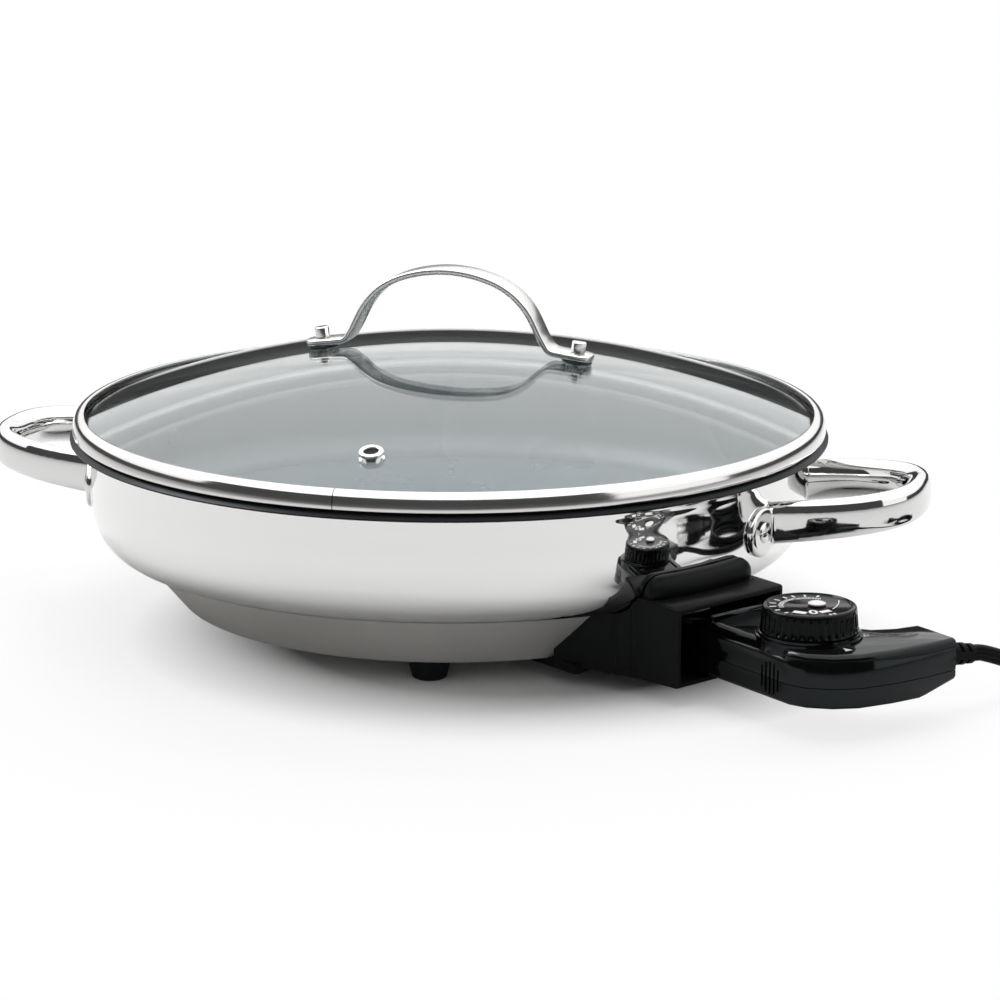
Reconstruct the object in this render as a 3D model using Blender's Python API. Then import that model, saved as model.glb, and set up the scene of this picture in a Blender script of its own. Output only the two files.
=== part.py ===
# Round electric skillet: a polished steel pan on a heated base, a lift-off glass lid,
# and a pull-out heat control probe with its dial and cord.
# Lengths are in metres. +Z is up, and the feet stand on z = 0.

import math

import bmesh
import bpy
from mathutils import Matrix, Vector

# Allowances and mesh fineness
SEAT_GAP = 0.0003
CUT_OVERRUN = 0.003
MERGE_DISTANCE = 0.00001
SHARP_ANGLE = math.radians(30)
TURN_STEPS = 48
RING_STEPS = 36
MIDDLE_STEPS = 20
SMALL_STEPS = 12

# Feet, which set the height of everything above
FOOT_COUNT = 4
FOOT_HEIGHT = 0.0085
FOOT_TOP_RADIUS = 0.0090
FOOT_BOTTOM_RADIUS = 0.0071
FOOT_EDGE = 0.0008
FOOT_RECESS_RADIUS = 0.0042
FOOT_RECESS_DEPTH = 0.0028
FOOT_INSET = 0.0105

# Pan
WALL_RADIUS = 0.1528
WALL_THICKNESS = 0.0010
WALL_HEIGHT = 0.0425
FLOOR_THICKNESS = 0.0035
CORNER_WIDTH = 0.0138
CORNER_HEIGHT = 0.0180
INNER_CORNER_WIDTH = 0.0130
INNER_CORNER_HEIGHT = 0.0150
CORNER_ARC_STEPS = 5
INNER_ARC_STEPS = 3
LIP_REACH = 0.0085
LIP_RISE = 0.0057
LIP_SHARES = [(0.0, 0.0), (0.05, 0.50), (0.28, 0.88), (0.62, 1.0), (1.0, 0.66)]

# Base cover under the pan
COVER_HEIGHT = 0.0232
COVER_STEP = 0.0192
COVER_TAPER = 0.0181
COVER_THICKNESS = 0.0008
COVER_EDGE = 0.0020
COVER_HEM = 0.0008
COVER_BOTTOM_Z = FOOT_HEIGHT + SEAT_GAP
COVER_TOP_RADIUS = WALL_RADIUS - COVER_STEP
COVER_FOOT_RADIUS = COVER_TOP_RADIUS - COVER_TAPER
FOOT_CIRCLE_RADIUS = COVER_FOOT_RADIUS - FOOT_INSET
FLOOR_UNDERSIDE_Z = COVER_BOTTOM_Z + COVER_HEIGHT
WALL_TOP_Z = FLOOR_UNDERSIDE_Z + WALL_HEIGHT
LIP_TOP_Z = WALL_TOP_Z + LIP_RISE + WALL_THICKNESS / 2

# Heat plate with its screw bosses, and the screws that hold the feet and the guard
PLATE_INSET = 0.0156
PLATE_THICKNESS = 0.0064
PLATE_CHAMFER = 0.0010
PLATE_UNDERSIDE_Z = FLOOR_UNDERSIDE_Z - PLATE_THICKNESS
PLATE_RADIUS = COVER_TOP_RADIUS - PLATE_INSET
BOSS_RADIUS = 0.0050
SCREW_SHANK_RADIUS = 0.0018
SCREW_HEAD_RADIUS = 0.0036
SCREW_HEAD_HEIGHT = 0.0018
SCREW_BITE = 0.0100
BORE_SPARE = 0.0010
SCREW_TOP_Z = COVER_BOTTOM_Z + SCREW_BITE

# Side handles, one at +X and one at -X
HANDLE_PROJECTION = 0.0534
HANDLE_ROOT_DEPTH = 0.0068
HANDLE_HALF_SPACING = 0.0383
HANDLE_ROUNDNESS = 2.6
HANDLE_STEPS = 16
HANDLE_DROP = 0.0169
HANDLE_RISE_PER_LENGTH = 0.117
HANDLE_THICKNESS = 0.0106
HANDLE_MOUNT_THICKNESS = 0.0084
HANDLE_HEIGHT = 0.0158
HANDLE_MOUNT_HEIGHT = 0.0176
HANDLE_SECTION_SHARES = [
    (0.50, -0.27), (0.50, 0.22), (0.34, 0.46), (0.0, 0.50), (-0.38, 0.32),
    (-0.50, -0.05), (-0.34, -0.40), (0.0, -0.50), (0.36, -0.46),
]
FLANGE_RADIUS = 0.0100
FLANGE_THICKNESS = 0.0027
RIVET_OUTSET = 0.0079
RIVET_DROP = 0.0189
RIVET_SHANK_RADIUS = 0.0020
RIVET_HEAD_RADIUS = 0.0030
RIVET_HEAD_HEIGHT = 0.0016
RIVET_INNER_RADIUS = 0.0044
RIVET_INNER_HEIGHT = 0.0011
RIVET_INNER_SEAT = 0.0008
HANDLE_START_RADIUS = WALL_RADIUS - HANDLE_ROOT_DEPTH
HANDLE_MOUNT_Z = WALL_TOP_Z - HANDLE_DROP
RIVET_ANGLE = math.asin((HANDLE_HALF_SPACING + RIVET_OUTSET) / WALL_RADIUS)
RIVET_Z = WALL_TOP_Z - RIVET_DROP

# Lid glass and its steel rim
RIM_INSET = 0.0013
RIM_HEIGHT = 0.0075
RIM_DEPTH = 0.0062
RIM_THICKNESS = 0.0008
RIM_SHARES = [(1.0, 1.0), (0.50, 0.87), (0.20, 0.58), (0.04, 0.0), (0.94, 0.0)]
RIM_RADIUS = WALL_RADIUS + LIP_REACH - RIM_INSET
RIM_BOTTOM_Z = LIP_TOP_Z + SEAT_GAP
DOME_RADIUS = 0.4356
GLASS_THICKNESS = 0.0038
GLASS_EDGE_GAP = 0.0030
GLASS_EDGE_RISE = 0.0046
GLASS_EDGE_CHAMFER = 0.0010
GLASS_RING_SHARES = [0.0, 0.2, 0.358, 0.6, 0.804, 1.0]
GLASS_EDGE_RADIUS = RIM_RADIUS - RIM_THICKNESS - GLASS_EDGE_GAP

# Lid strap handle, its fixings and the steam vent
STRAP_BOLT_RADIUS = 0.0560
STRAP_FOOT_HALF_LENGTH = 0.0066
STRAP_WIDTH = 0.0130
STRAP_THICKNESS = 0.0026
STRAP_HEIGHT = 0.0380
STRAP_FOOT_STEP = 0.0034
STRAP_SPAN_INSET = 0.0068
STRAP_SHARES = [
    (0.0, 1.0), (0.22, 0.97), (0.42, 0.89), (0.57, 0.775), (0.675, 0.64),
    (0.745, 0.505), (0.80, 0.355), (0.852, 0.21), (0.918, 0.085),
]
STRAP_CHAMFER = 0.0007
GASKET_THICKNESS = 0.0012
BOLT_SHANK_RADIUS = 0.0020
BOLT_HEAD_RADIUS = 0.0031
BOLT_HEAD_HEIGHT = 0.0045
NUT_RADIUS = 0.0045
NUT_HEIGHT = 0.0036
BOLT_TAIL = 0.0012
VENT_INSET = 0.0306
VENT_AZIMUTH = math.radians(-87.0)
VENT_FLANGE_RADIUS = 0.0049
VENT_SLEEVE_RADIUS = 0.0031
VENT_BORE_RADIUS = 0.0016
VENT_FLANGE_HEIGHT = 0.0013
VENT_RADIUS = GLASS_EDGE_RADIUS - VENT_INSET

# The guard and the probe share one axis, set off round the wall from a handle's rivet
GUARD_OFFSET = 0.0392
PROBE_RISE = 0.0117
GUARD_AZIMUTH = -RIVET_ANGLE - GUARD_OFFSET / WALL_RADIUS
PROBE_AXIS_Z = COVER_BOTTOM_Z + PROBE_RISE

# Probe guard
GUARD_PROJECTION = 0.0174
GUARD_HALF_WIDTH = 0.0296
GUARD_DEPTH_BELOW = 0.0130
GUARD_HEIGHT_ABOVE = 0.0196
GUARD_WALL = 0.0022
GUARD_EDGE = 0.0014
SOCKET_DEPTH = 0.0302
WING_BACKSET = 0.0048
WING_OVERLAP = 0.0035
WING_SPREAD = 0.0116
WING_RIB = 0.0009
WING_RIB_SHARES = [0.05, 0.24]
SADDLE_HALF_WIDTH = 0.0276
SADDLE_THICKNESS = 0.0054
SADDLE_DROP = 0.0257
SADDLE_ROOT = 0.0057
SADDLE_SECTION_SHARES = [(0.80, 0.0), (0.96, 0.14), (1.0, 0.34), (0.92, 0.64), (0.66, 0.88), (0.26, 1.0)]
SADDLE_END_SHARES = [(1.0, 0.35), (0.97, 0.62), (0.92, 0.83), (0.84, 0.96), (0.74, 1.0), (0.37, 1.0)]
TAB_WIDTH = 0.0135
TAB_ROOT = 0.0020
TAB_THICKNESS = 0.0031
TAB_OVERLAP = 0.0120
TAB_MARGIN = 0.0065
GUARD_SCREW_INSET = 0.0155
GUARD_SCREW_ACROSS = 0.0340
GUARD_FACE = WALL_RADIUS + GUARD_PROJECTION
GUARD_BACK = GUARD_FACE - SOCKET_DEPTH
GUARD_BOTTOM_Z = PROBE_AXIS_Z - GUARD_DEPTH_BELOW
GUARD_TOP_Z = PROBE_AXIS_Z + GUARD_HEIGHT_ABOVE
WING_START = WALL_RADIUS - WING_BACKSET
WING_END = COVER_FOOT_RADIUS - WING_OVERLAP
WING_HALF_WIDTH = GUARD_HALF_WIDTH + WING_SPREAD
SADDLE_HALF_ANGLE = SADDLE_HALF_WIDTH / WALL_RADIUS
SADDLE_TOP_Z = WALL_TOP_Z - SADDLE_DROP
SADDLE_LOW_Z = GUARD_TOP_Z - SADDLE_ROOT
GUARD_SCREW_ALONG = COVER_FOOT_RADIUS - GUARD_SCREW_INSET
TAB_INNER_RADIUS = GUARD_SCREW_ALONG - TAB_MARGIN
TAB_OUTER_RADIUS = WING_END + TAB_OVERLAP
TAB_BOTTOM_Z = COVER_BOTTOM_Z - TAB_THICKNESS

# Heater, terminals and sensor well
ELEMENT_RADIUS = 0.0033
ELEMENT_INSET = 0.0270
ELEMENT_BEND = 0.0140
ELEMENT_RING_STEPS = 24
ELEMENT_BEND_STEPS = 4
PIN_HALF_SPACING = 0.0090
PIN_RADIUS = 0.0024
PIN_ROOT = 0.0045
PIN_INSET = 0.0082
BLOCK_DEPTH = 0.0072
BLOCK_HALF_WIDTH = 0.0190
BLOCK_HALF_HEIGHT = 0.0074
WINDOW_SPARE = 0.0010
WELL_RADIUS = 0.0048
WELL_BORE_RADIUS = 0.0036
WELL_LENGTH = 0.0660
WELL_END_WALL = 0.0015
BLOCK_END = GUARD_BACK - SEAT_GAP
BLOCK_START = BLOCK_END - BLOCK_DEPTH
ELEMENT_RING_RADIUS = FOOT_CIRCLE_RADIUS - ELEMENT_INSET
ELEMENT_END = BLOCK_START - PIN_ROOT
PIN_TIP = GUARD_FACE - PIN_INSET
WELL_INNER_END = BLOCK_END - WELL_LENGTH

# Probe housing, seen from above: along the insertion axis and across it
NOSE_DEPTH = 0.0197
NOSE_HALF_WIDTH = 0.0152
BODY_LENGTH = 0.0722
CORNER_HALF_WIDTH = 0.0222
GRIP_DEPTH = 0.0281
GRIP_SHARES = [(0.26, 0.03), (0.55, 0.13), (0.76, 0.27), (0.90, 0.50), (0.98, 0.75), (1.0, 1.0)]
TAIL_LENGTH = 0.0196
TAIL_WIDTH = 0.0222
TAIL_LEAN = math.radians(7.3)
ELBOW_INSET = 0.0087
ELBOW_ACROSS = 0.0214
ELBOW_SHARES = [(0.48, 0.16), (0.80, 0.50)]
HOUSING_WALL = 0.0022
LOWER_DEPTH = 0.0082
LOWER_EDGE = 0.0014
FOLD_ACROSS = 0.0220
TAIL_LIFT_SHARE = 0.23
UPPER_HEIGHT = 0.0095
UPPER_EDGE = 0.0012
DECK_SETBACK = 0.0213
DECK_HEIGHT = 0.0131
DECK_INSET = 0.0018
DECK_EDGE = 0.0022
BAR_LENGTH = 0.0033
BAR_INSET = 0.0004
BAR_RISE = 0.0023
BAR_EDGE = 0.0012
PANEL_SETBACK = 0.0044
PANEL_MARGIN = 0.0034
PANEL_DEPTH = 0.0007
GRIP_INSET = 0.0001
GROOVE_INSET = 0.0052
GROOVE_WIDTH = 0.0022
PARTING_GAP = 0.0003
NOSE_START = GUARD_FACE - NOSE_DEPTH
CORNER_START = NOSE_START + BODY_LENGTH
GRIP_OUTSIDE = CORNER_START + GRIP_DEPTH
TAIL_END = ELBOW_ACROSS + TAIL_LENGTH
DECK_START = NOSE_START + DECK_SETBACK
GROOVE_START = CORNER_START - GROOVE_INSET
ELBOW_ALONG = CORNER_START - ELBOW_INSET
PATCH_GROOVES = 5
PATCH_PITCH = 0.0023
PATCH_GROOVE_WIDTH = 0.0011
PATCH_GROOVE_DEPTH = 0.0006
PATCH_HALF_HEIGHT = 0.0064
PATCH_ROUNDNESS = 0.75
POST_RADIUS = 0.0033
FAR_POST_REACH = 0.0033
FAR_POST_ACROSS = 0.0120
NEAR_POST_BACKSET = 0.0237
NEAR_POST_ACROSS = 0.0130
POST_PLACES = [
    (CORNER_START + FAR_POST_REACH, -FAR_POST_ACROSS),
    (CORNER_START - NEAR_POST_BACKSET, NEAR_POST_ACROSS),
]
HOUSING_SCREW_RADIUS = 0.0013
HOUSING_SCREW_HEAD_RADIUS = 0.0024
HOUSING_SCREW_HEAD_HEIGHT = 0.0014
HOUSING_SCREW_LENGTH = 0.0110

# Inside the probe
ROD_RADIUS = 0.0032
ROD_SHORT_OF_WELL = 0.0025
ROD_COLLAR_RADIUS = 0.0044
ROD_COLLAR_LENGTH = 0.0030
ROD_TIP = WELL_INNER_END + WELL_END_WALL + ROD_SHORT_OF_WELL
SLEEVE_BORE_RADIUS = 0.0027
SLEEVE_WALL = 0.0009
SLEEVE_LENGTH = 0.0170
FRAME_BACKSET = 0.0380
FRAME_LENGTH = 0.0260
FRAME_HALF_WIDTH = 0.0080
FRAME_HEIGHT = 0.0070
FRAME_WALL = 0.0012
BLADE_HALF_WIDTH = 0.0030
BLADE_THICKNESS = 0.0005
BLADE_LENGTH = 0.0300
BLADE_RISE = 0.0048
BLADE_SHARES = [(0.0, 0.0), (0.3, 0.0), (0.75, 0.85), (1.0, 1.0)]

# Dial on top of the probe
DIAL_BACKSET = 0.0107
RING_RADIUS = 0.0198
RING_HEIGHT = 0.0022
RING_STEP_WIDTH = 0.0010
RING_STEP_HEIGHT = 0.0010
DIAL_BOTTOM_RADIUS = 0.0190
DIAL_TAPER = 0.0009
DIAL_HEIGHT = 0.0100
DIAL_RIM_WIDTH = 0.0016
DIAL_FACE_DEPTH = 0.0007
DIAL_EDGE = 0.0010
DIAL_RIBS = 36
DIAL_RIB_DEPTH = 0.0005
DIAL_RIB_LOW_SHARE = 0.08
DIAL_RIB_HIGH_SHARE = 0.76
SHAFT_RADIUS = 0.0030
SHAFT_SOCKET_DEPTH = 0.0060
CAM_RADIUS = 0.0065
CAM_HEIGHT = 0.0016
CAM_LOW = 0.0026
LENS_RADIUS = 0.0036
LENS_ALONG = 0.0010
LENS_ACROSS = 0.0029
LENS_HEIGHT = 0.0008
DIAL_TOP_RADIUS = DIAL_BOTTOM_RADIUS - DIAL_TAPER
DIAL_FACE_RADIUS = DIAL_TOP_RADIUS - DIAL_RIM_WIDTH
DIAL_ALONG = CORNER_START - DIAL_BACKSET
FRAME_START = DIAL_ALONG - FRAME_BACKSET

# Strain relief and cord
BOOT_HEIGHT = 0.0035
BOOT_DROOP = math.radians(8.0)
BOOT_INSIDE = 0.0060
BOOT_OUTSIDE = 0.0176
BOOT_ROOT_RADIUS = 0.0056
BOOT_TIP_RADIUS = 0.0040
BOOT_RIBS = 4
BOOT_GROOVE = 0.0011
BOOT_WEB_HALF_HEIGHT = 0.0014
BOOT_WEB_INSET = 0.0004
CORD_RADIUS = 0.00325
CORD_SIDES = 2
CORD_STEP = 0.0140
# The visible lead's places, from the strain relief's tip to the coil: along X and Y
# from that tip, and up from the floor
CORD_PLACES = [
    (0.0146, 0.0188, 0.0142), (0.0211, 0.0333, 0.0082), (0.0236, 0.0488, 0.0052),
    (0.0228, 0.0648, 0.0046), (0.0226, 0.0788, 0.0046),
]
COIL_CENTRE = (0.0666, 0.0928)
COIL_OUTER_RADIUS = 0.0410
COIL_PITCH = 0.0070
COIL_LAYER_RISE = 0.0070
COIL_TURNS = 3.5
COIL_CLIMB_TURNS = 0.5
COIL_START_ANGLE = math.radians(168.0)
COIL_POINTS_PER_TURN = 24
COIL_STRAIGHT = 0.0070
COIL_TAIL = 0.0330
COIL_TAIL_DROP = 0.0028
COIL_TAIL_STEPS = 5
TIE_THICKNESS = 0.0008
TIE_WIDTH = 0.0070
TIE_CLEARANCE = 0.0005
TIE_TURN_SHARE = 0.25

# Plug
PLUG_LENGTH = 0.0300
PLUG_WIDTH = 0.0240
PLUG_NECK_RADIUS = 0.0048
PLUG_NECK_LENGTH = 0.0080
PLUG_SHARES = [(0.0, 0.40), (0.10, 0.62), (0.24, 0.86), (0.60, 1.0), (0.94, 1.0), (1.0, 0.94)]
PLUG_SECTION_SHARES = [
    (0.5, -0.28), (0.5, 0.28), (0.28, 0.5), (-0.28, 0.5),
    (-0.5, 0.28), (-0.5, -0.28), (-0.28, -0.5), (0.28, -0.5),
]
BLADE_SPACING = 0.0127
PLUG_BLADE_LENGTH = 0.0170
PLUG_BLADE_WIDTH = 0.0063
PLUG_BLADE_THICKNESS = 0.0015

# Surfaces: colour, roughness, metallic
SURFACES = {
    "polished_steel": ((0.82, 0.82, 0.81), 0.08, 1.0),
    "satin_steel": ((0.66, 0.66, 0.65), 0.32, 1.0),
    "satin_base": ((0.50, 0.49, 0.47), 0.45, 1.0),
    "cast_aluminium": ((0.60, 0.60, 0.60), 0.50, 1.0),
    "heater_sheath": ((0.25, 0.25, 0.25), 0.55, 1.0),
    "brass": ((0.70, 0.56, 0.28), 0.30, 1.0),
    "glass": ((0.62, 0.68, 0.69), 0.03, 0.0),
    "ceramic": ((0.85, 0.83, 0.78), 0.60, 0.0),
    "matte_black": ((0.022, 0.024, 0.025), 0.50, 0.0),
    "gloss_black": ((0.012, 0.012, 0.013), 0.12, 0.0),
    "black_rubber": ((0.020, 0.020, 0.020), 0.70, 0.0),
    "white_lens": ((0.80, 0.80, 0.78), 0.20, 0.0),
}


def clear_scene():
    for thing in list(bpy.data.objects):
        bpy.data.objects.remove(thing, do_unlink=True)


def surface_for(name, surface):
    colour, roughness, metallic = SURFACES[surface]
    material = bpy.data.materials.new(name)
    material.use_nodes = True
    shader = material.node_tree.nodes["Principled BSDF"]
    shader.inputs["Base Color"].default_value = (*colour, 1.0)
    shader.inputs["Roughness"].default_value = roughness
    shader.inputs["Metallic"].default_value = metallic
    return material


def add_frame(name, parent=None, location=(0, 0, 0), rotation=(0, 0, 0)):
    frame = bpy.data.objects.new(name, None)
    frame.location = location
    frame.rotation_euler = rotation
    frame.parent = parent
    bpy.context.scene.collection.objects.link(frame)
    return frame


def place(name, data, surface, parent, location, direction):
    thing = bpy.data.objects.new(name, data)
    data.materials.append(surface_for(name, surface))
    thing.parent = parent
    thing.location = location
    if direction is not None:
        thing.rotation_mode = "QUATERNION"
        thing.rotation_quaternion = Vector(direction).to_track_quat("Z", "Y")
    bpy.context.scene.collection.objects.link(thing)
    return thing


def add_piece(name, bm, surface, parent, location=(0, 0, 0), direction=None):
    bmesh.ops.recalc_face_normals(bm, faces=bm.faces)
    mesh = bpy.data.meshes.new(name)
    bm.to_mesh(mesh)
    bm.free()
    mesh.shade_smooth()
    mesh.set_sharp_from_angle(angle=SHARP_ANGLE)
    return place(name, mesh, surface, parent, location, direction)


def add_tool(name, bm, parent, location=(0, 0, 0), direction=None):
    tool = add_piece(name, bm, "satin_steel", parent, location, direction)
    tool.hide_render = True
    tool.display_type = "WIRE"
    return tool


def combine(piece, tool, operation="DIFFERENCE"):
    step = piece.modifiers.new(tool.name, "BOOLEAN")
    step.operation = operation
    step.solver = "EXACT"
    step.object = tool


def offset_line(points, distance, closed=False):
    # Moves a flat line to its left by a distance, with mitred corners.
    count = len(points)
    moved = []
    for index, point in enumerate(points):
        here = Vector(point)
        before = Vector(points[index - 1]) if closed or index > 0 else None
        after = Vector(points[(index + 1) % count]) if closed or index < count - 1 else None
        arriving = (here - before).normalized() if before is not None else None
        leaving = (after - here).normalized() if after is not None else None
        arriving = leaving if arriving is None else arriving
        leaving = arriving if leaving is None else leaving
        side = Vector((-arriving.y, arriving.x))
        bisector = (side + Vector((-leaving.y, leaving.x))).normalized()
        moved.append(tuple(here + bisector * (distance / bisector.dot(side))))
    return moved


def arc(centre, radius_a, radius_b, start, end, steps):
    return [
        (
            centre[0] + radius_a * math.cos(start + (end - start) * step / steps),
            centre[1] + radius_b * math.sin(start + (end - start) * step / steps),
        )
        for step in range(steps + 1)
    ]


def turned(outline, steps=TURN_STEPS):
    # Spins an outline of (radius, height) points about Z.
    bm = bmesh.new()
    verts = [bm.verts.new((radius, 0, height)) for radius, height in outline]
    pairs = list(zip(verts, verts[1:] + verts[:1]))
    if outline[0][0] == 0 and outline[-1][0] == 0:
        pairs.pop()
    edges = [bm.edges.new(pair) for pair in pairs]
    bmesh.ops.spin(
        bm, geom=verts + edges, cent=(0, 0, 0), axis=(0, 0, 1),
        angle=math.tau, steps=steps, use_merge=True,
    )
    bmesh.ops.remove_doubles(bm, verts=bm.verts, dist=MERGE_DISTANCE)
    return bm


def prism(outline, low, high):
    bm = bmesh.new()
    base = bm.faces.new([bm.verts.new((x, y, low)) for x, y in outline])
    grown = bmesh.ops.extrude_face_region(bm, geom=[base])
    top = [part for part in grown["geom"] if isinstance(part, bmesh.types.BMVert)]
    bmesh.ops.translate(bm, verts=top, vec=(0, 0, high - low))
    bmesh.ops.recalc_face_normals(bm, faces=bm.faces)
    return bm


def round_edges(bm, radius, chosen, segments=2):
    edges = [edge for edge in bm.edges if chosen(edge)]
    bmesh.ops.bevel(bm, geom=edges, offset=radius, segments=segments, profile=0.5, affect="EDGES")
    return bm


def edge_at_height(height):
    def chosen(edge):
        return all(abs(vert.co.z - height) < MERGE_DISTANCE for vert in edge.verts)
    return chosen


def add_rod(bm, radius, start, end, steps=SMALL_STEPS):
    start = Vector(start)
    end = Vector(end)
    turn = (end - start).to_track_quat("Z", "Y").to_matrix().to_4x4()
    bmesh.ops.create_cone(
        bm, cap_ends=True, segments=steps, radius1=radius, radius2=radius,
        depth=(end - start).length, matrix=Matrix.Translation((start + end) / 2) @ turn,
    )
    return bm


def add_block(bm, low, high):
    size = Vector(high) - Vector(low)
    middle = (Vector(high) + Vector(low)) / 2
    scale = Matrix.Diagonal((*size, 1.0))
    bmesh.ops.create_cube(bm, size=1.0, matrix=Matrix.Translation(middle) @ scale)
    return bm


def lofted(rings):
    # Joins rings of equal point counts with walls and closes both ends.
    bm = bmesh.new()
    loops = [[bm.verts.new(point) for point in ring] for ring in rings]
    for first, second in zip(loops, loops[1:]):
        for index, vert in enumerate(first):
            after = (index + 1) % len(first)
            bm.faces.new((vert, first[after], second[after], second[index]))
    bm.faces.new(loops[0])
    bm.faces.new(list(reversed(loops[-1])))
    return bm


def smooth_route(padded, step):
    # Reads evenly spaced points from a smooth curve through all but the end places.
    fine = []
    for a, b, c, d in zip(padded, padded[1:], padded[2:], padded[3:]):
        for index in range(20):
            t = index / 20
            fine.append(
                (b * 2 + (c - a) * t + (a * 2 - b * 5 + c * 4 - d) * t ** 2
                 + (b * 3 - a - c * 3 + d) * t ** 3) / 2
            )
    fine.append(padded[-2])
    length = sum((b - a).length for a, b in zip(fine, fine[1:]))
    count = max(2, round(length / step))
    spaced = [fine[0]]
    walked = 0
    for a, b in zip(fine, fine[1:]):
        run = (b - a).length
        while len(spaced) < count and walked + run >= length * len(spaced) / count:
            share = (length * len(spaced) / count - walked) / run
            spaced.append(a.lerp(b, share))
        walked += run
    spaced.append(fine[-1])
    return spaced


def add_tube(name, points, radius, resolution, surface, parent):
    curve = bpy.data.curves.new(name, "CURVE")
    curve.dimensions = "3D"
    curve.bevel_depth = radius
    curve.bevel_resolution = resolution
    curve.use_fill_caps = True
    spline = curve.splines.new("POLY")
    spline.points.add(len(points) - 1)
    for knot, point in zip(spline.points, points):
        knot.co = (*point, 1.0)
    return place(name, curve, surface, parent, (0, 0, 0), None)


# Pan

def pan_corner(radius, width, height, floor_z, steps=CORNER_ARC_STEPS):
    centre = (radius - width, floor_z + height)
    return arc(centre, width, height, -math.pi / 2, 0, steps)


def pan_outline():
    inner_radius = WALL_RADIUS - WALL_THICKNESS
    half = WALL_THICKNESS / 2
    reach = LIP_REACH
    lip = [(WALL_RADIUS - half + reach * out, WALL_TOP_Z + LIP_RISE * up) for out, up in LIP_SHARES]
    floor_z = FLOOR_UNDERSIDE_Z + FLOOR_THICKNESS
    outside = pan_corner(WALL_RADIUS, CORNER_WIDTH, CORNER_HEIGHT, FLOOR_UNDERSIDE_Z)
    inside = pan_corner(
        inner_radius, INNER_CORNER_WIDTH, INNER_CORNER_HEIGHT, floor_z, INNER_ARC_STEPS)
    return (
        [(0, FLOOR_UNDERSIDE_Z)] + outside + offset_line(lip, -half)
        + offset_line(lip, half)[::-1] + inside[::-1] + [(0, floor_z)]
    )


def pan_clearance(parent):
    # The space that the pan takes, grown by the seat gap.
    low = FLOOR_UNDERSIDE_Z - SEAT_GAP
    wall = pan_corner(WALL_RADIUS + SEAT_GAP, CORNER_WIDTH, CORNER_HEIGHT, low)
    outline = [(0, low)] + wall + [(WALL_RADIUS + SEAT_GAP, WALL_TOP_Z), (0, WALL_TOP_Z)]
    return add_tool("pan_clearance", turned(outline), parent)


def rivet_directions():
    for side in (0, math.pi):
        for turn in (-RIVET_ANGLE, RIVET_ANGLE):
            yield Vector((math.cos(side + turn), math.sin(side + turn), 0))


def rivet_holes(parent):
    bm = bmesh.new()
    for direction in rivet_directions():
        start = direction * (WALL_RADIUS - RIVET_INNER_RADIUS * 2)
        end = direction * (WALL_RADIUS + FLANGE_THICKNESS * 3)
        start.z = RIVET_Z
        end.z = RIVET_Z
        add_rod(bm, RIVET_SHANK_RADIUS + SEAT_GAP, start, end)
    return add_tool("rivet_holes", bm, parent)


def make_pan(root, holes):
    pan = add_piece("pan", turned(pan_outline()), "polished_steel", root)
    combine(pan, holes)


# Base cover, heat plate and feet

def foot_places():
    for index in range(FOOT_COUNT):
        angle = GUARD_AZIMUTH + math.tau * (index + 0.5) / FOOT_COUNT
        yield (FOOT_CIRCLE_RADIUS * math.cos(angle), FOOT_CIRCLE_RADIUS * math.sin(angle))


def guard_screw_places():
    turn = Matrix.Rotation(GUARD_AZIMUTH, 2)
    for side in (-1, 1):
        yield tuple(turn @ Vector((GUARD_SCREW_ALONG, GUARD_SCREW_ACROSS * side)))


def cover_line():
    low = COVER_BOTTOM_Z
    return [
        (0, low), (COVER_FOOT_RADIUS - COVER_EDGE, low),
        (COVER_FOOT_RADIUS + COVER_EDGE * 0.4, low + COVER_EDGE),
        (COVER_TOP_RADIUS, FLOOR_UNDERSIDE_Z - SEAT_GAP - COVER_HEM),
        (COVER_TOP_RADIUS, FLOOR_UNDERSIDE_Z - SEAT_GAP),
    ]


def cover_clearance(parent):
    line = offset_line(cover_line(), -SEAT_GAP)
    top = FLOOR_UNDERSIDE_Z + CUT_OVERRUN
    outline = line + [(COVER_TOP_RADIUS + SEAT_GAP, top), (0, top)]
    return add_tool("cover_clearance", turned(outline), parent)


def screw_bores(name, radius, low, high, parent):
    bm = bmesh.new()
    for x, y in list(foot_places()) + list(guard_screw_places()):
        add_rod(bm, radius, (x, y, low), (x, y, high))
    return add_tool(name, bm, parent)


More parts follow.
